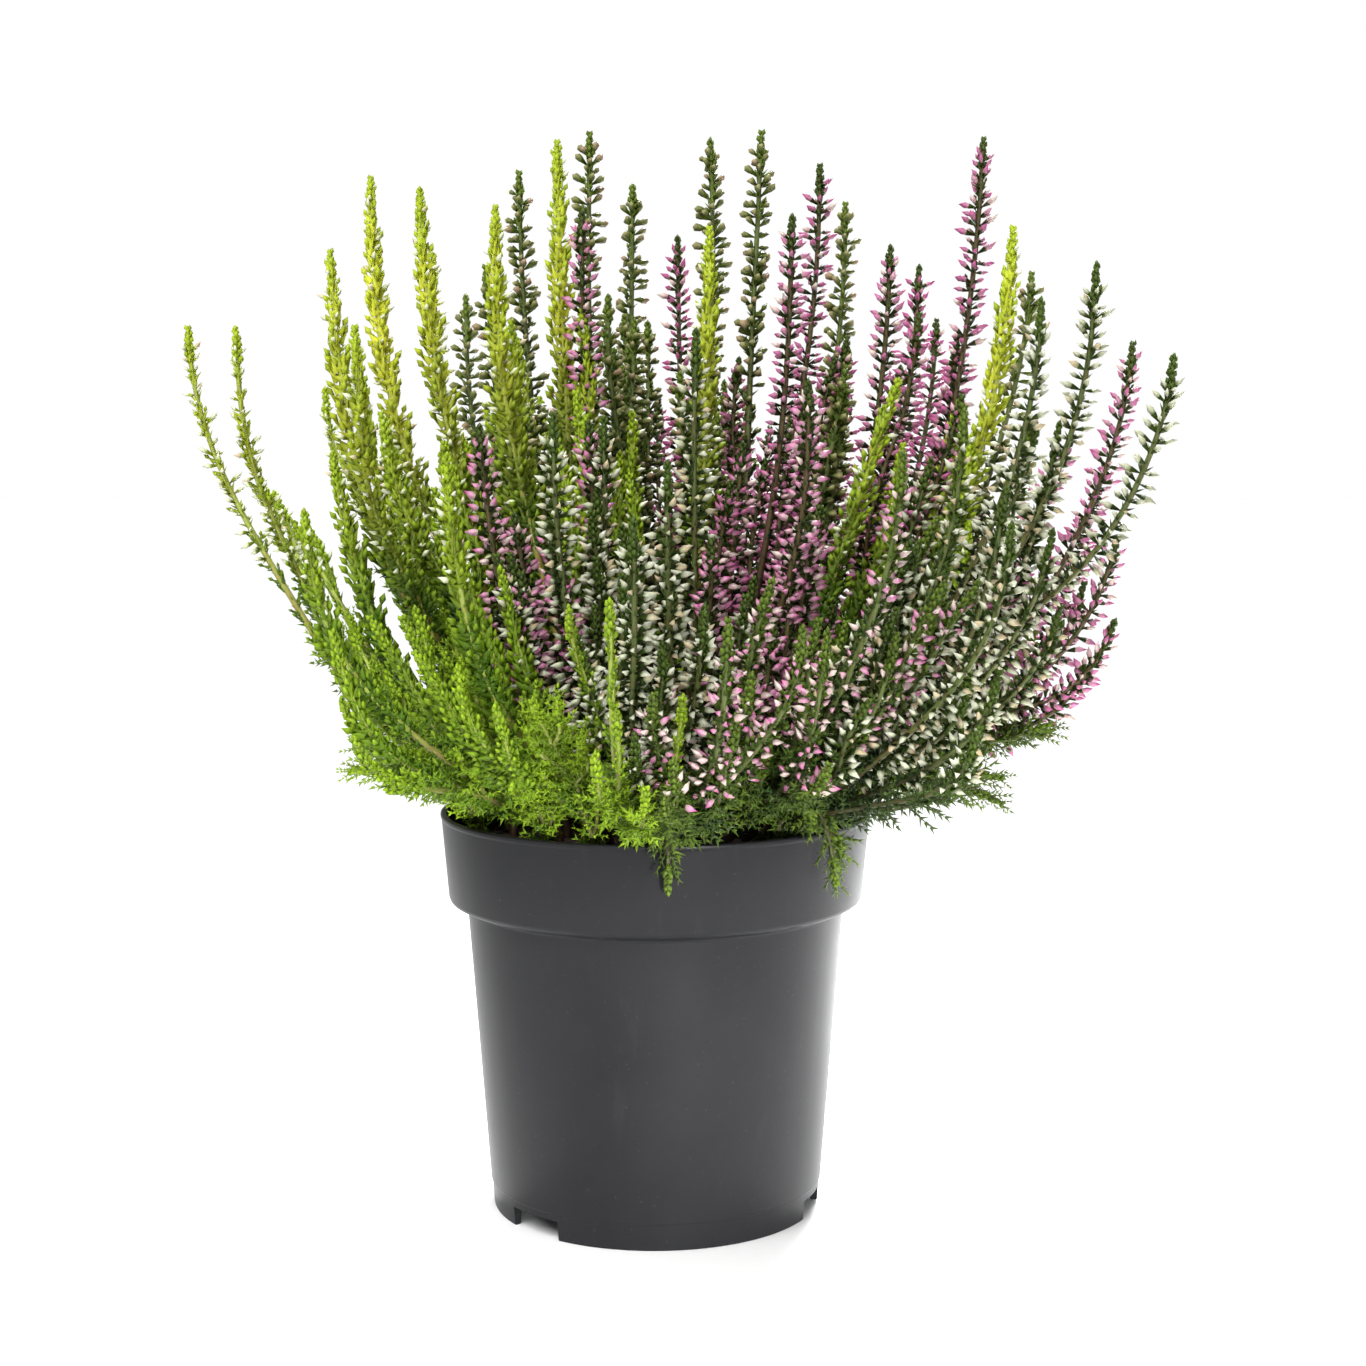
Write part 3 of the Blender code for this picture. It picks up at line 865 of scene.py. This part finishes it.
def buds_and_calyxes(grow):
    """Whorls of buds that point up near the tip and out or down lower on the stem, each held by its calyx."""
    to_tip = grow.named("to_tip")
    kept = (to_tip > grow.given("Scale Length") - 3 * MM) * (to_tip < grow.named("budded"))
    kept = kept * grow.chance(grow.given("Bud Share")) * (grow.height > grow.given("Bud Floor"))
    seen = grow.named("cover") * 1.3 + grow.slope(to_tip, 45 * MM, 85 * MM, 1, 0.1)
    kept = kept * grow.chance(seen)
    levels = grow.levels(grow.given("Bud Spacing"), grow.given("Buds Per Level"), kept, GOLDEN_TURN)
    droop = grow.given("Droop") * grow.slope(to_tip, 25 * MM, 90 * MM, 0.1, 1)
    tilt = grow.slope(to_tip, 4 * MM, 22 * MM, 0.70, 1.14) + droop + grow.random(-0.36, 0.36)
    size = grow.slope(to_tip, 4 * MM, 18 * MM, 0.80, 1.0) * grow.random(0.75, 1.2) * grow.given("Bud Size")
    return grow.scatter(levels, ("Bud",), tilt, size), grow.scatter(levels, ("Calyx",), tilt, size)


def feathery_twigs(grow):
    """Twigs clothed in needles below the buds, longer towards the foot and fewer inside the bush."""
    reach = grow.named("reach")
    kept = (grow.named("to_tip") > grow.named("budded") - 8 * MM) * (reach > 2.5 * MM)
    kept = kept * grow.chance(grow.named("cover"))
    levels = grow.levels(grow.given("Twig Spacing"), grow.given("Twigs Per Level"), kept, GOLDEN_TURN)
    size = reach * grow.random(0.7, 1.15)
    pick = grow.slope(size, 4.5 * MM, 8.5 * MM, 0, 2).math("ROUND")
    tilt = grow.slope(reach, 3 * MM, 8 * MM, 0.50, 0.88) * grow.random(0.75, 1.25)
    shapes = ("Short Twig", "Middle Twig", "Long Twig")
    return grow.scatter(levels, shapes, tilt, size / (4.5 * MM + pick * (2 * MM)), pick)


def spray_tree():
    """Stems, close leaves at the tips, short clubs and buds below them, and feathery twigs low down."""
    grow = Growth()
    buds, calyxes = buds_and_calyxes(grow)
    green = (tip_scales(grow), clubs(grow), stem_leaves(grow), calyxes, feathery_twigs(grow))
    leafy = [grow.dressed(part, "Needles") for part in green]
    return grow.finish(grow.stems(), grow.dressed(buds, "Buds"), *leafy)


# The sprays' centre lines

def bezier(corners, share):
    """The point of a cubic curve at that share of its run."""
    rest = 1 - share
    a, b, c, d = corners
    return a * rest**3 + b * 3 * rest**2 * share + c * 3 * rest * share**2 + d * share**3


def heading(corners, share):
    return (bezier(corners, min(share + 0.01, 1)) - bezier(corners, max(share - 0.01, 0))).normalized()


def spray_corners(tip):
    """The four control points of a tall spray's main shoot."""
    foot = Vector((tip.x * SPRAY_FOOT_SHARE, tip.y * SPRAY_FOOT_SHARE, STEM_RISE_Z))
    bend = Vector((tip.x * SPRAY_BEND_SHARE, tip.y * SPRAY_BEND_SHARE, 0))
    bend.z = foot.z + SPRAY_BEND_HEIGHT * (tip.z - foot.z)
    return foot, foot + up(SPRAY_RISE), bend, tip


def leafy_corners(tip):
    """The four control points of a short shoot that leans out over the rim."""
    out = flat(tip).normalized()
    foot = out * LEAFY_FOOT_RADIUS
    foot.z = STEM_RISE_Z
    reach = flat(tip).length
    bend = out * max(0.8 * reach, 1.15 * RIM_RADIUS)
    bend.z = foot.z + LEAFY_BEND_HEIGHT
    return foot, foot + up(LEAFY_RISE), bend, tip


def fork_corners(parent, tip):
    """The control points of a side shoot that leaves its parent part of the way up."""
    start = bezier(parent, FORK_START)
    ahead = (bezier(parent, FORK_START + 0.02) - start).normalized()
    length = (tip - start).length
    last = (parent[3] - parent[2]).normalized()
    return start, start + ahead * 0.25 * length, tip - last * 0.4 * length, tip


def branch_corners(parent, share, out, lean, size, rise):
    """The control points of a branch that leaves its parent towards out and curves up beside it."""
    start = bezier(parent, share)
    ahead = heading(parent, share)
    leave = (ahead * math.cos(lean) + out * math.sin(lean)).normalized()
    last = (heading(parent, min(share + 0.3, 0.95)) + out * 0.12 + up(rise)).normalized()
    tip = start + leave * 0.42 * size + last * 0.58 * size
    if flat(tip).length > RIM_RADIUS - 8 * MM:
        past_rim = flat(start).length > RIM_RADIUS
        tip.z = max(tip.z, POT_HEIGHT + (-5 if past_rim else 10) * MM)
    return start, start + leave * 0.35 * size, tip - last * 0.4 * size, tip


def side_turn(draw, ahead, point, inward):
    """A seeded direction square to a shoot. With inward set it doesn't lean away from the pot's axis."""
    away = flat(point).normalized()
    side = ahead.cross(Vector((0.3, 1, 0.1))).normalized()
    out = side
    for _ in range(20):
        turn = draw.uniform(0, 2 * math.pi)
        out = side * math.cos(turn) + ahead.cross(side) * math.sin(turn)
        if not inward or out.dot(away) < 0.2:
            break
    return out


class Line:
    """One centre line: its stem's girth, the budded length below its tip, and how far its twigs reach."""

    def __init__(self, draw, corners, budded, foot_radius, widest, shade, rooted=False):
        length = (corners[3] - corners[0]).length
        count = max(8, round(length / (5.5 * MM)))
        sway = Vector((draw.uniform(-1, 1), draw.uniform(-1, 1), 0)) * (1.0 * MM + 0.017 * length)
        phase = draw.uniform(0, 2 * math.pi)
        self.points = []
        for i in range(count + 1):
            share = i / count
            bend = sway * math.sin(math.pi * share) * math.sin(phase + 8 * share)
            self.points.append(bezier(corners, share) + bend)
        if rooted:
            foot = self.points[0]
            self.points.insert(0, Vector((foot.x, foot.y, STEM_FOOT_Z)))
        self.corners, self.foot_radius, self.widest, self.shade = corners, foot_radius, widest, shade
        self.budded = min(budded, self.length_above(SKIRT_Z))

    def length_above(self, z):
        """How far the line runs down from its tip before it first comes below a height."""
        run = 0.0
        for a, b in zip(self.points[::-1], self.points[-2::-1]):
            if b.z < z:
                break
            run += (a - b).length
        return run

    def rows(self):
        """For each point, itself and its named values. clear is the room that its twigs have."""
        lengths = [0.0]
        for a, b in zip(self.points, self.points[1:]):
            lengths.append(lengths[-1] + (b - a).length)
        total = lengths[-1]
        for point, run in zip(self.points, lengths):
            to_tip = total - run
            from_axis = flat(point).length
            outer = RIM_RADIUS + 0.42 * max(0.0, point.z - POT_HEIGHT)  # the plant's rough outer face
            clear = max(0.0, point.z - SOIL_Z) * 0.9
            if from_axis > 0.75 * RIM_RADIUS and point.z > POT_HEIGHT:
                clear = 4 * MM + (point.z - POT_HEIGHT) * 0.6
            elif from_axis > RIM_RADIUS + 4 * MM:
                clear = 5 * MM
            yield point, {
                "to_tip": to_tip,
                "girth": SHOOT_RADIUS + (self.foot_radius - SHOOT_RADIUS) * (to_tip / total),
                "reach": min(self.widest, 3 * MM + 0.16 * max(0.0, to_tip - 0.7 * self.budded), clear),
                # cover is how near the bush's outer face a point lies: it thins the twigs and buds inside,
                # and the needles' material paints shade where it is low
                "cover": min(0.90, max(0.06, 1.8 * from_axis / outer - 0.75)),
                "budded": self.budded,
                "shade": self.shade,
            }


def lines_object(name, lines):
    """A mesh of bare edges whose named attributes the tree reads."""
    points, edges, values = [], [], {}
    for line in lines:
        first = len(points)
        for point, row in line.rows():
            points.append(point)
            for key, number in row.items():
                values.setdefault(key, []).append(number)
        edges += [(i, i + 1) for i in range(first, len(points) - 1)]
    mesh = bpy.data.meshes.new(name)
    mesh.from_pydata(points, edges, [])
    for key, numbers in values.items():
        mesh.attributes.new(key, "FLOAT", "POINT").data.foreach_set("value", numbers)
    obj = bpy.data.objects.new(name, mesh)
    bpy.context.scene.collection.objects.link(obj)
    return obj


SHARED_GROWTH = {"Club Spacing": 2.6 * MM, "Twig Spacing": 3.3 * MM, "Twigs Per Level": 3}
GROWTH_INPUTS = (
    "Bud Spacing", "Buds Per Level", "Bud Share", "Bud Size", "Bud Floor", "Club Share", "Club Size", "Droop",
    "Scale Length", "Leaf Spacing",
)
# Each variety's tips, the budded share of its main shoots, the share of its odd buds, the length of its
# needles, and its tree's inputs in the order of GROWTH_INPUTS
VARIETIES = {
    "lime": {
        "sprays": LIME_SPRAYS, "shoots": LIME_SHOOTS, "budded": 0.46, "odd": 0.08, "needle": 2.0 * MM,
        "growth": (3.0 * MM, 3, 0.46, 0.90, 178 * MM, 0.80, 1.25, 0.10, 9 * MM, 2.8 * MM),
    },
    "white": {
        "sprays": WHITE_SPRAYS, "shoots": (), "budded": 0.70, "odd": 0.18, "needle": 2.3 * MM,
        "growth": (2.7 * MM, 4, 0.82, 1.08, SKIRT_Z, 0.05, 0.85, 0.45, 9 * MM, 2.7 * MM),
    },
    "pink": {
        "sprays": PINK_SPRAYS, "shoots": (), "budded": 0.68, "odd": 0.20, "needle": 2.3 * MM,
        "growth": (2.6 * MM, 4, 0.90, 1.08, SKIRT_Z, 0.06, 0.8, 0.28, 8 * MM, 2.7 * MM),
    },
    "green": {
        "sprays": GREEN_SPRAYS, "shoots": GREEN_SHOOTS, "budded": 0.58, "odd": 0.12, "needle": 2.3 * MM,
        "growth": (2.8 * MM, 4, 0.80, 1.18, SKIRT_Z, 0.18, 0.95, -0.05, 7 * MM, 2.8 * MM),
    },
}
# What sets some sprays apart: the green ones at the front are leafier, the outermost lime ones are knobbier
LEAFY = {
    "Bud Share": 0.60, "Bud Size": 1.0, "Club Share": 0.35, "Club Size": 0.9, "Club Spacing": 2.5 * MM,
    "Scale Length": 10 * MM,
}
KNOBBY = {"Bud Share": 0.75, "Club Share": 0.45, "Club Size": 0.8, "Bud Spacing": 3.0 * MM}
KNOBBY_BUDDED = 0.62

# Where a tip stands, in millimetres like the tips, decides what its spray is like
KNOBBY_REACH = 110  # the lime sprays whose tips are farther than this from the axis are knobby
CREAM_X = 70  # the green sprays at the front have blushed buds to the left of this, and cream ones past it
LOW_FRONT_Y = -40  # the pink sprays in front of this are thick with spikes
LIME_FRONT_Y = -80  # the lime ones in front of this have few
RIGHT_EDGE_X = 110  # the sprays to the right of this are thick with low spikes
BUSHY_REACH = 60  # a spray that reaches out farther than this has one spike more than the rest
SKIRTED_REACH = 70  # and one that reaches out farther than this has more leafy branches
OVERHANGING = (85, 138)  # low spikes grow on the sprays past the first of these, lime ones up to the second
SHADED_Y = (-60, 100)  # the stretch towards the back over which the buds turn to their deep colour


def side_spikes(draw, main, count, budded):
    """Long side shoots that stand up beside the main one, a little lower than it."""
    made = []
    length = (main.corners[3] - main.corners[0]).length
    for i in range(count):
        share = 0.16 + 0.30 * (i + draw.random()) / count
        size = length * (1 - share) * draw.uniform(0.62, 0.96)
        start = bezier(main.corners, share)
        out = side_turn(draw, heading(main.corners, share), start, True)
        corners = branch_corners(main.corners, share, out, draw.uniform(0.4, 0.7), size, 0.5)
        made.append(Line(draw, corners, budded * size, 0.9 * MM, 8 * MM, main.shade))
    return made


def under_spikes(draw, main, count, budded):
    """Budded side shoots that bow out from below an outer spray and turn up, over the leafy skirt."""
    made = []
    foot, tip = main.corners[0], main.corners[3]
    for i in range(count):
        share = draw.uniform(0.18, 0.34)
        start = bezier(main.corners, share)
        end = Matrix.Rotation(draw.uniform(-0.17, 0.17), 3, "Z") @ (tip * draw.uniform(0.86, 0.98))
        end.z = foot.z + (tip.z - foot.z) * (0.30 + 0.44 * (i + draw.random()) / count)
        bend = Vector((0.92 * end.x, 0.92 * end.y, start.z + 0.25 * (end.z - start.z)))
        size = (end - start).length
        corners = (start, start + heading(main.corners, share) * 0.3 * size, bend, end)
        made.append(Line(draw, corners, budded * size, 0.9 * MM, 7 * MM, main.shade))
    return made


def leafy_branches(draw, main, count, low, high, longest, widest, inward):
    """Short leafy side shoots, spread along a stretch of the main one."""
    made = []
    for i in range(count):
        share = low + (high - low) * (i + draw.random()) / count
        size = longest * draw.uniform(0.7, 1.1)
        start = bezier(main.corners, share)
        out = side_turn(draw, heading(main.corners, share), start, inward)
        corners = branch_corners(main.corners, share, out, draw.uniform(0.55, 0.85), size, 0.25)
        made.append(Line(draw, corners, 0.0, 0.7 * MM, widest, main.shade))
    return made


def spray_lines(draw, variety, tips):
    """The main shoot of a spray, its forks, the spikes beside it and the leafy branches under them."""
    lime = variety == "lime"
    x, y, _ = tips[0]
    away = Vector((x, y)).length
    main = spray_corners(Vector(tips[0]) * MM)
    depth = (y - SHADED_Y[0]) / (SHADED_Y[1] - SHADED_Y[0])
    shade = min(1.0, max(0.0, depth + draw.uniform(-0.3, 0.3)))
    length = (main[3] - main[0]).length
    share = KNOBBY_BUDDED if lime and away > KNOBBY_REACH else VARIETIES[variety]["budded"]
    lines = [Line(draw, main, share * length, STEM_RADIUS, 9 * MM, shade, rooted=True)]
    for tip in tips[1:]:
        corners = fork_corners(main, Vector(tip) * MM)
        lines.append(Line(draw, corners, share * length, 0.8 * STEM_RADIUS, 8 * MM, shade))
    thick = variety == "pink" and y < LOW_FRONT_Y
    count = 6 if thick else 4 if away > BUSHY_REACH else 3
    if lime and y < LIME_FRONT_Y:
        count = 2
    spikes = side_spikes(draw, lines[0], count, 0.72)
    if away > OVERHANGING[0] and not (lime and away >= OVERHANGING[1]):
        spikes += under_spikes(draw, lines[0], 5 if x > RIGHT_EDGE_X else 3, 0.75)
    if thick:
        spikes += under_spikes(draw, lines[0], 5, 0.85)
    outer = away > SKIRTED_REACH
    low = leafy_branches(draw, lines[0], 4 if outer else 1, 0.16, 0.42, 0.22 * length, 7 * MM, outer)
    return lines + spikes + low


def shoot_lines(draw, tip):
    """A short leafy shoot and its side shoots."""
    corners = leafy_corners(Vector((0.94 * tip[0], 0.94 * tip[1], tip[2])) * MM)
    main = Line(draw, corners, 0.0, 0.9 * STEM_RADIUS, 6.5 * MM, draw.random(), rooted=True)
    longest = 0.34 * (corners[3] - corners[0]).length
    at_rim = leafy_branches(draw, main, 5, 0.10, 0.32, 20 * MM, 5 * MM, False)
    return [main] + at_rim + leafy_branches(draw, main, 6, 0.32, 0.80, longest, 6 * MM, True)


class Nursery:
    """What the sprays of one variety share: the tree, and the templates with needles of one length."""

    def __init__(self, needle):
        self.tree = spray_tree()
        pointed = ((0.14, 0.72), (0.48, 1.0))
        blunt = ((0.20, 0.85), (0.70, 1.0))
        self.templates = {
            "Bud": bud_template("bud_template", 3.5 * MM, 0.88 * MM, pointed, 3),
            "Calyx": calyx_template(0.78 * MM),
            "Club": club_template(),
            "Scale": scale_template(),
            "Leaf": leaf_template(),
            "Short Twig": twig_template("twig_template_1", 4.5 * MM, needle, 3, 1),
            "Middle Twig": twig_template("twig_template_2", 6.5 * MM, needle, 4, 2),
            "Long Twig": twig_template("twig_template_3", 8.5 * MM, needle, 5, 3),
        }
        self.knob = bud_template("knob_template", 2.6 * MM, 1.0 * MM, blunt, 3)

    def grow(self, name, lines, inputs, seed):
        """The finished piece of one spray, a plain mesh."""
        obj = lines_object(name, lines)
        modifier = fit_modifier(obj, "NODES", node_group=self.tree)
        values = {**self.templates, **SHARED_GROWTH, "Seed": seed, **inputs}
        for item in self.tree.interface.items_tree:
            if item.in_out == "INPUT" and item.name in values:
                modifier[item.identifier] = values[item.name]
        return baked(obj)

    def clear(self):
        discard(self.knob, *self.templates.values())


# Operators

def settings_of(context):
    return context.scene.heather


class HEATHER_OT_pot(bpy.types.Operator):
    """Make the moulded pot"""
    bl_idname = "heather.pot"
    bl_label = "Pot"

    def execute(self, context):
        pot = settings_of(context).pot
        bm = bmesh.new()
        turned(bm, pot_profile(), pot.sides)
        shade_smooth(bm)
        obj = object_from(bm, "heather_pot", plastic_finish(pot))
        cutters = bmesh.new()
        for turn in NOTCH_TURNS:
            slot = bmesh.ops.create_cube(cutters, size=1)["verts"]
            bmesh.ops.scale(cutters, verts=slot, vec=(NOTCH_WIDTH, 5 * FOOT_RING_WIDTH, 2 * NOTCH_HEIGHT))
            bmesh.ops.translate(cutters, verts=slot, vec=(0, -BODY_FOOT_RADIUS, 0))
            around = Matrix.Rotation(math.radians(turn), 3, "Z")
            bmesh.ops.rotate(cutters, verts=slot, cent=(0, 0, 0), matrix=around)
        turns = [360 * i / DRAINS_IN_RING for i in range(DRAINS_IN_RING)]
        for centre in [up(0), *(front_turned(turn, DRAIN_RING_RADIUS, 0) for turn in turns)]:
            bmesh.ops.create_cone(
                cutters, cap_ends=True, segments=32, radius1=DRAIN_RADIUS, radius2=DRAIN_RADIUS,
                depth=4 * WALL, matrix=Matrix.Translation(centre + up(BASE_RAISE + 0.5 * WALL)),
            )
        cutter = object_from(cutters, "pot_cutters")
        fit_modifier(obj, "BOOLEAN", operation="DIFFERENCE", solver="EXACT", object=cutter)
        baked(obj)
        discard(cutter)
        obj.data.set_sharp_from_angle(angle=SHARP_ANGLE)
        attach(obj, ROOT)
        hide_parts("pot")
        return {"FINISHED"}


def soil_height(x, y):
    return SOIL_Z + SOIL_SWELL * (math.sin(x / SOIL_WAVE) + math.cos(y / SOIL_WAVE))


class HEATHER_OT_soil(bpy.types.Operator):
    """Make the compost and the crumbs on it"""
    bl_idname = "heather.soil"
    bl_label = "Soil"

    def execute(self, context):
        soil = settings_of(context).soil
        finish = soil_finish(soil)
        top_radius = RIM_RADIUS - 1.4 * WALL - GAP - (POT_HEIGHT - SOIL_Z) * BAND_TAPER
        profile = [
            (0, BASE_RAISE + WALL + GAP),
            (BODY_FOOT_RADIUS - 2 * WALL, BASE_RAISE + WALL + GAP),
            (BODY_TOP_RADIUS - WALL - GAP, BAND_FOOT_Z),
            (BAND_FOOT_RADIUS - WALL - GAP, BAND_FOOT_Z + 1.5 * WALL + GAP),
        ]
        profile += [(top_radius * ring / SOIL_RINGS, SOIL_Z) for ring in range(SOIL_RINGS, -1, -1)]
        bm = bmesh.new()
        turned(bm, profile, SOIL_SIDES)
        draw = random.Random(5)
        for vert in bm.verts:
            if vert.co.z > SOIL_Z - GAP:
                rough = draw.uniform(-SOIL_ROUGHNESS, SOIL_ROUGHNESS) * MM
                vert.co.z = soil_height(vert.co.x, vert.co.y) + rough
        for _ in range(soil.crumbs):
            radius = (top_radius - 2 * MM) * math.sqrt(draw.random())
            turn = draw.uniform(0, 2 * math.pi)
            x, y = radius * math.cos(turn), radius * math.sin(turn)
            size = soil.crumb_size * draw.uniform(0.5, 1.7)
            place = Matrix.Translation((x, y, soil_height(x, y) + 0.2 * size))
            spin = Matrix.Rotation(draw.uniform(0, 6), 4, "X") @ Matrix.Rotation(draw.uniform(0, 6), 4, "Z")
            squash = Matrix.Diagonal((1, draw.uniform(0.5, 1), draw.uniform(0.4, 0.9), 1))
            bmesh.ops.create_icosphere(bm, subdivisions=1, radius=size, matrix=place @ spin @ squash)
        obj = object_from(bm, "heather_soil", finish)
        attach(obj, ROOT)
        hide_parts("soil")
        return {"FINISHED"}


def grow_variety(context, name):
    """Every spray and leafy shoot of one variety, each a piece that stands for its own node."""
    variety = VARIETIES[name]
    kind = getattr(settings_of(context), name)
    finishes = {
        "Needles": needle_finish(name, kind),
        "Stems": stem_finish(name, kind),
        "Buds": bud_finish(name, kind, variety["odd"]),
    }
    nursery = Nursery(variety["needle"])
    if name == "green":
        cream = {"Buds": bud_finish("cream", settings_of(context).white, odd=0.35)}
        blushed = {"Buds": bud_finish("blushed", settings_of(context).pink, odd=0.45)}
    groups = (("spray", variety["sprays"]), ("shoot", variety["shoots"]))
    for group, plan in groups:
        for i, tips in enumerate(plan, 1):
            seed = sum(map(ord, name)) * 100 + i + (50 if group == "shoot" else 0)  # one of its own
            draw = random.Random(seed)
            lines = spray_lines(draw, name, tips) if group == "spray" else shoot_lines(draw, tips)
            node = f"{name}_{group}_{i:02d}"
            inputs = {**dict(zip(GROWTH_INPUTS, variety["growth"])), **finishes}
            if name == "green" and group == "spray":
                front = {**LEAFY, **(blushed if tips[0][0] < CREAM_X else cream)}
                inputs.update(front if tips[0][1] < 0 else {"Bud": nursery.knob})
            if name == "lime" and Vector(tips[:2] if group == "shoot" else tips[0][:2]).length > KNOBBY_REACH:
                inputs.update(KNOBBY)
            piece = nursery.grow(f"heather_{node}", lines, inputs, seed)
            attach(piece, ROOT)
            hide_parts(node)
    nursery.clear()


class HEATHER_OT_lime(bpy.types.Operator):
    """Grow the lime sprays and leafy shoots"""
    bl_idname = "heather.lime"
    bl_label = "Lime Heather"

    def execute(self, context):
        grow_variety(context, "lime")
        return {"FINISHED"}


class HEATHER_OT_white(bpy.types.Operator):
    """Grow the sprays with white buds"""
    bl_idname = "heather.white"
    bl_label = "White Heather"

    def execute(self, context):
        grow_variety(context, "white")
        return {"FINISHED"}


class HEATHER_OT_pink(bpy.types.Operator):
    """Grow the sprays with pink buds"""
    bl_idname = "heather.pink"
    bl_label = "Pink Heather"

    def execute(self, context):
        grow_variety(context, "pink")
        return {"FINISHED"}


class HEATHER_OT_green(bpy.types.Operator):
    """Grow the knobbly green sprays and the green leafy shoots"""
    bl_idname = "heather.green"
    bl_label = "Green Heather"

    def execute(self, context):
        grow_variety(context, "green")
        return {"FINISHED"}


# Where the studio's light changes, along the unit direction that it comes from
BACKDROP_EDGE = (0.89, 0.94)
ZENITH_EDGE = (0.25, 0.60)
KEY_FROM = (-0.38, -0.82, 1.35)
KEY_ANGLE = math.radians(50)
FLOOR_REACH = 6
SENSOR_WIDTH = 36
# The soft lights: name, place, what it faces, width and height, watts, and the spread of its beam in degrees
SOFTBOXES = (
    ("pot_softbox", (0.26, -0.86, 0.05), (0, 0, 0.05), (0.30, 0.12), 0.38, 14),
    ("floor_softbox", (0.22, 1.00, 0.80), (0.16, 0.17, 0), (0.42, 0.25), 3.6, 32),
    ("back_softbox", (0.10, 0.80, 0.90), (0.08, 0.10, 0), (0.80, 0.50), 2, 180),
    ("front_softbox", (0.10, -1.4, 0.70), (0, 0, 0.15), (0.60, 0.50), 1.6, 180),
)


def softbox(name, place, target, size, power, spread):
    """A rectangular area light that faces its target."""
    light = bpy.data.lights.new(name, "AREA")
    light.shape = "RECTANGLE"
    light.size, light.size_y = size
    light.energy = power
    light.spread = math.radians(spread)
    obj = bpy.data.objects.new(name, light)
    obj.location = place
    obj.rotation_euler = (Vector(target) - Vector(place)).to_track_quat("-Z", "Y").to_euler()
    bpy.context.scene.collection.objects.link(obj)


def studio_world(backdrop, sides, zenith):
    """White light, strongest from behind, softer from the sides and front, and weakest from above."""
    world = bpy.data.worlds.new("studio")
    world.use_nodes = True
    world.node_tree.nodes.clear()
    graph = Graph(world.node_tree)
    direction = graph.add("ShaderNodeTexCoord").out("Generated")
    level = graph.slope(graph.axis(direction, "Y"), *BACKDROP_EDGE, sides, backdrop)
    strength = level * graph.slope(graph.axis(direction, "Z"), *ZENITH_EDGE, 1, zenith)
    light = graph.add("ShaderNodeBackground", {"Color": (1, 1, 1), "Strength": strength}).out()
    graph.add("ShaderNodeOutputWorld", {"Surface": light})
    return world


class HEATHER_OT_stage(bpy.types.Operator):
    """Set the floor, the lights and the camera"""
    bl_idname = "heather.stage"
    bl_label = "Stage"

    def execute(self, context):
        stage = settings_of(context).stage
        bm = bmesh.new()
        bmesh.ops.create_grid(bm, x_segments=1, y_segments=1, size=FLOOR_REACH)
        paint = Paint("studio_floor")
        floor = object_from(bm, "studio_floor", paint.finish({"Base Color": stage.floor, "Roughness": 0.7}))

        context.scene.world = studio_world(stage.backdrop, stage.sides, stage.zenith)
        sun = bpy.data.lights.new("key_sun", "SUN")
        sun.energy = stage.key
        sun.angle = KEY_ANGLE
        key = bpy.data.objects.new("key_sun", sun)
        key.rotation_euler = Vector(KEY_FROM).to_track_quat("Z", "Y").to_euler()
        context.scene.collection.objects.link(key)
        for row in SOFTBOXES:
            softbox(*row)

        data = bpy.data.cameras.new("camera")
        data.sensor_width = SENSOR_WIDTH
        data.lens = stage.lens
        camera = bpy.data.objects.new("camera", data)
        camera.location = (stage.aside, -stage.distance, stage.height)
        camera.rotation_euler = (math.pi / 2 - stage.pitch, 0, 0)
        context.scene.collection.objects.link(camera)
        context.scene.camera = camera
        context.scene.view_settings.view_transform = "Standard"
        return {"FINISHED"}


class HEATHER_PT_panel(bpy.types.Panel):
    """The heather's operators and settings"""
    bl_idname = "HEATHER_PT_panel"
    bl_label = "Heather"
    bl_space_type = "VIEW_3D"
    bl_region_type = "UI"
    bl_category = "Heather"

    def draw(self, context):
        for operator in OPERATORS:
            self.layout.operator(operator.bl_idname)
        for name in GROUPS:
            group = getattr(context.scene.heather, name)
            box = self.layout.box()
            box.label(text=name.title())
            for prop in group.bl_rna.properties:
                if prop.identifier not in ("rna_type", "name"):
                    box.prop(group, prop.identifier)


OPERATORS = (
    HEATHER_OT_pot, HEATHER_OT_soil, HEATHER_OT_lime, HEATHER_OT_white, HEATHER_OT_pink, HEATHER_OT_green,
    HEATHER_OT_stage,
)
CLASSES = (*GROUPS.values(), HeatherSettings, *OPERATORS, HEATHER_PT_panel)


def register():
    for cls in CLASSES:
        bpy.utils.register_class(cls)
    bpy.types.Scene.heather = PointerProperty(type=HeatherSettings)


def unregister():
    del bpy.types.Scene.heather
    for cls in reversed(CLASSES):
        bpy.utils.unregister_class(cls)


def main():
    register()
    for operator in OPERATORS:
        group, name = operator.bl_idname.split(".")
        getattr(getattr(bpy.ops, group), name)()
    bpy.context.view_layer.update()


if __name__ == "__main__":
    main()
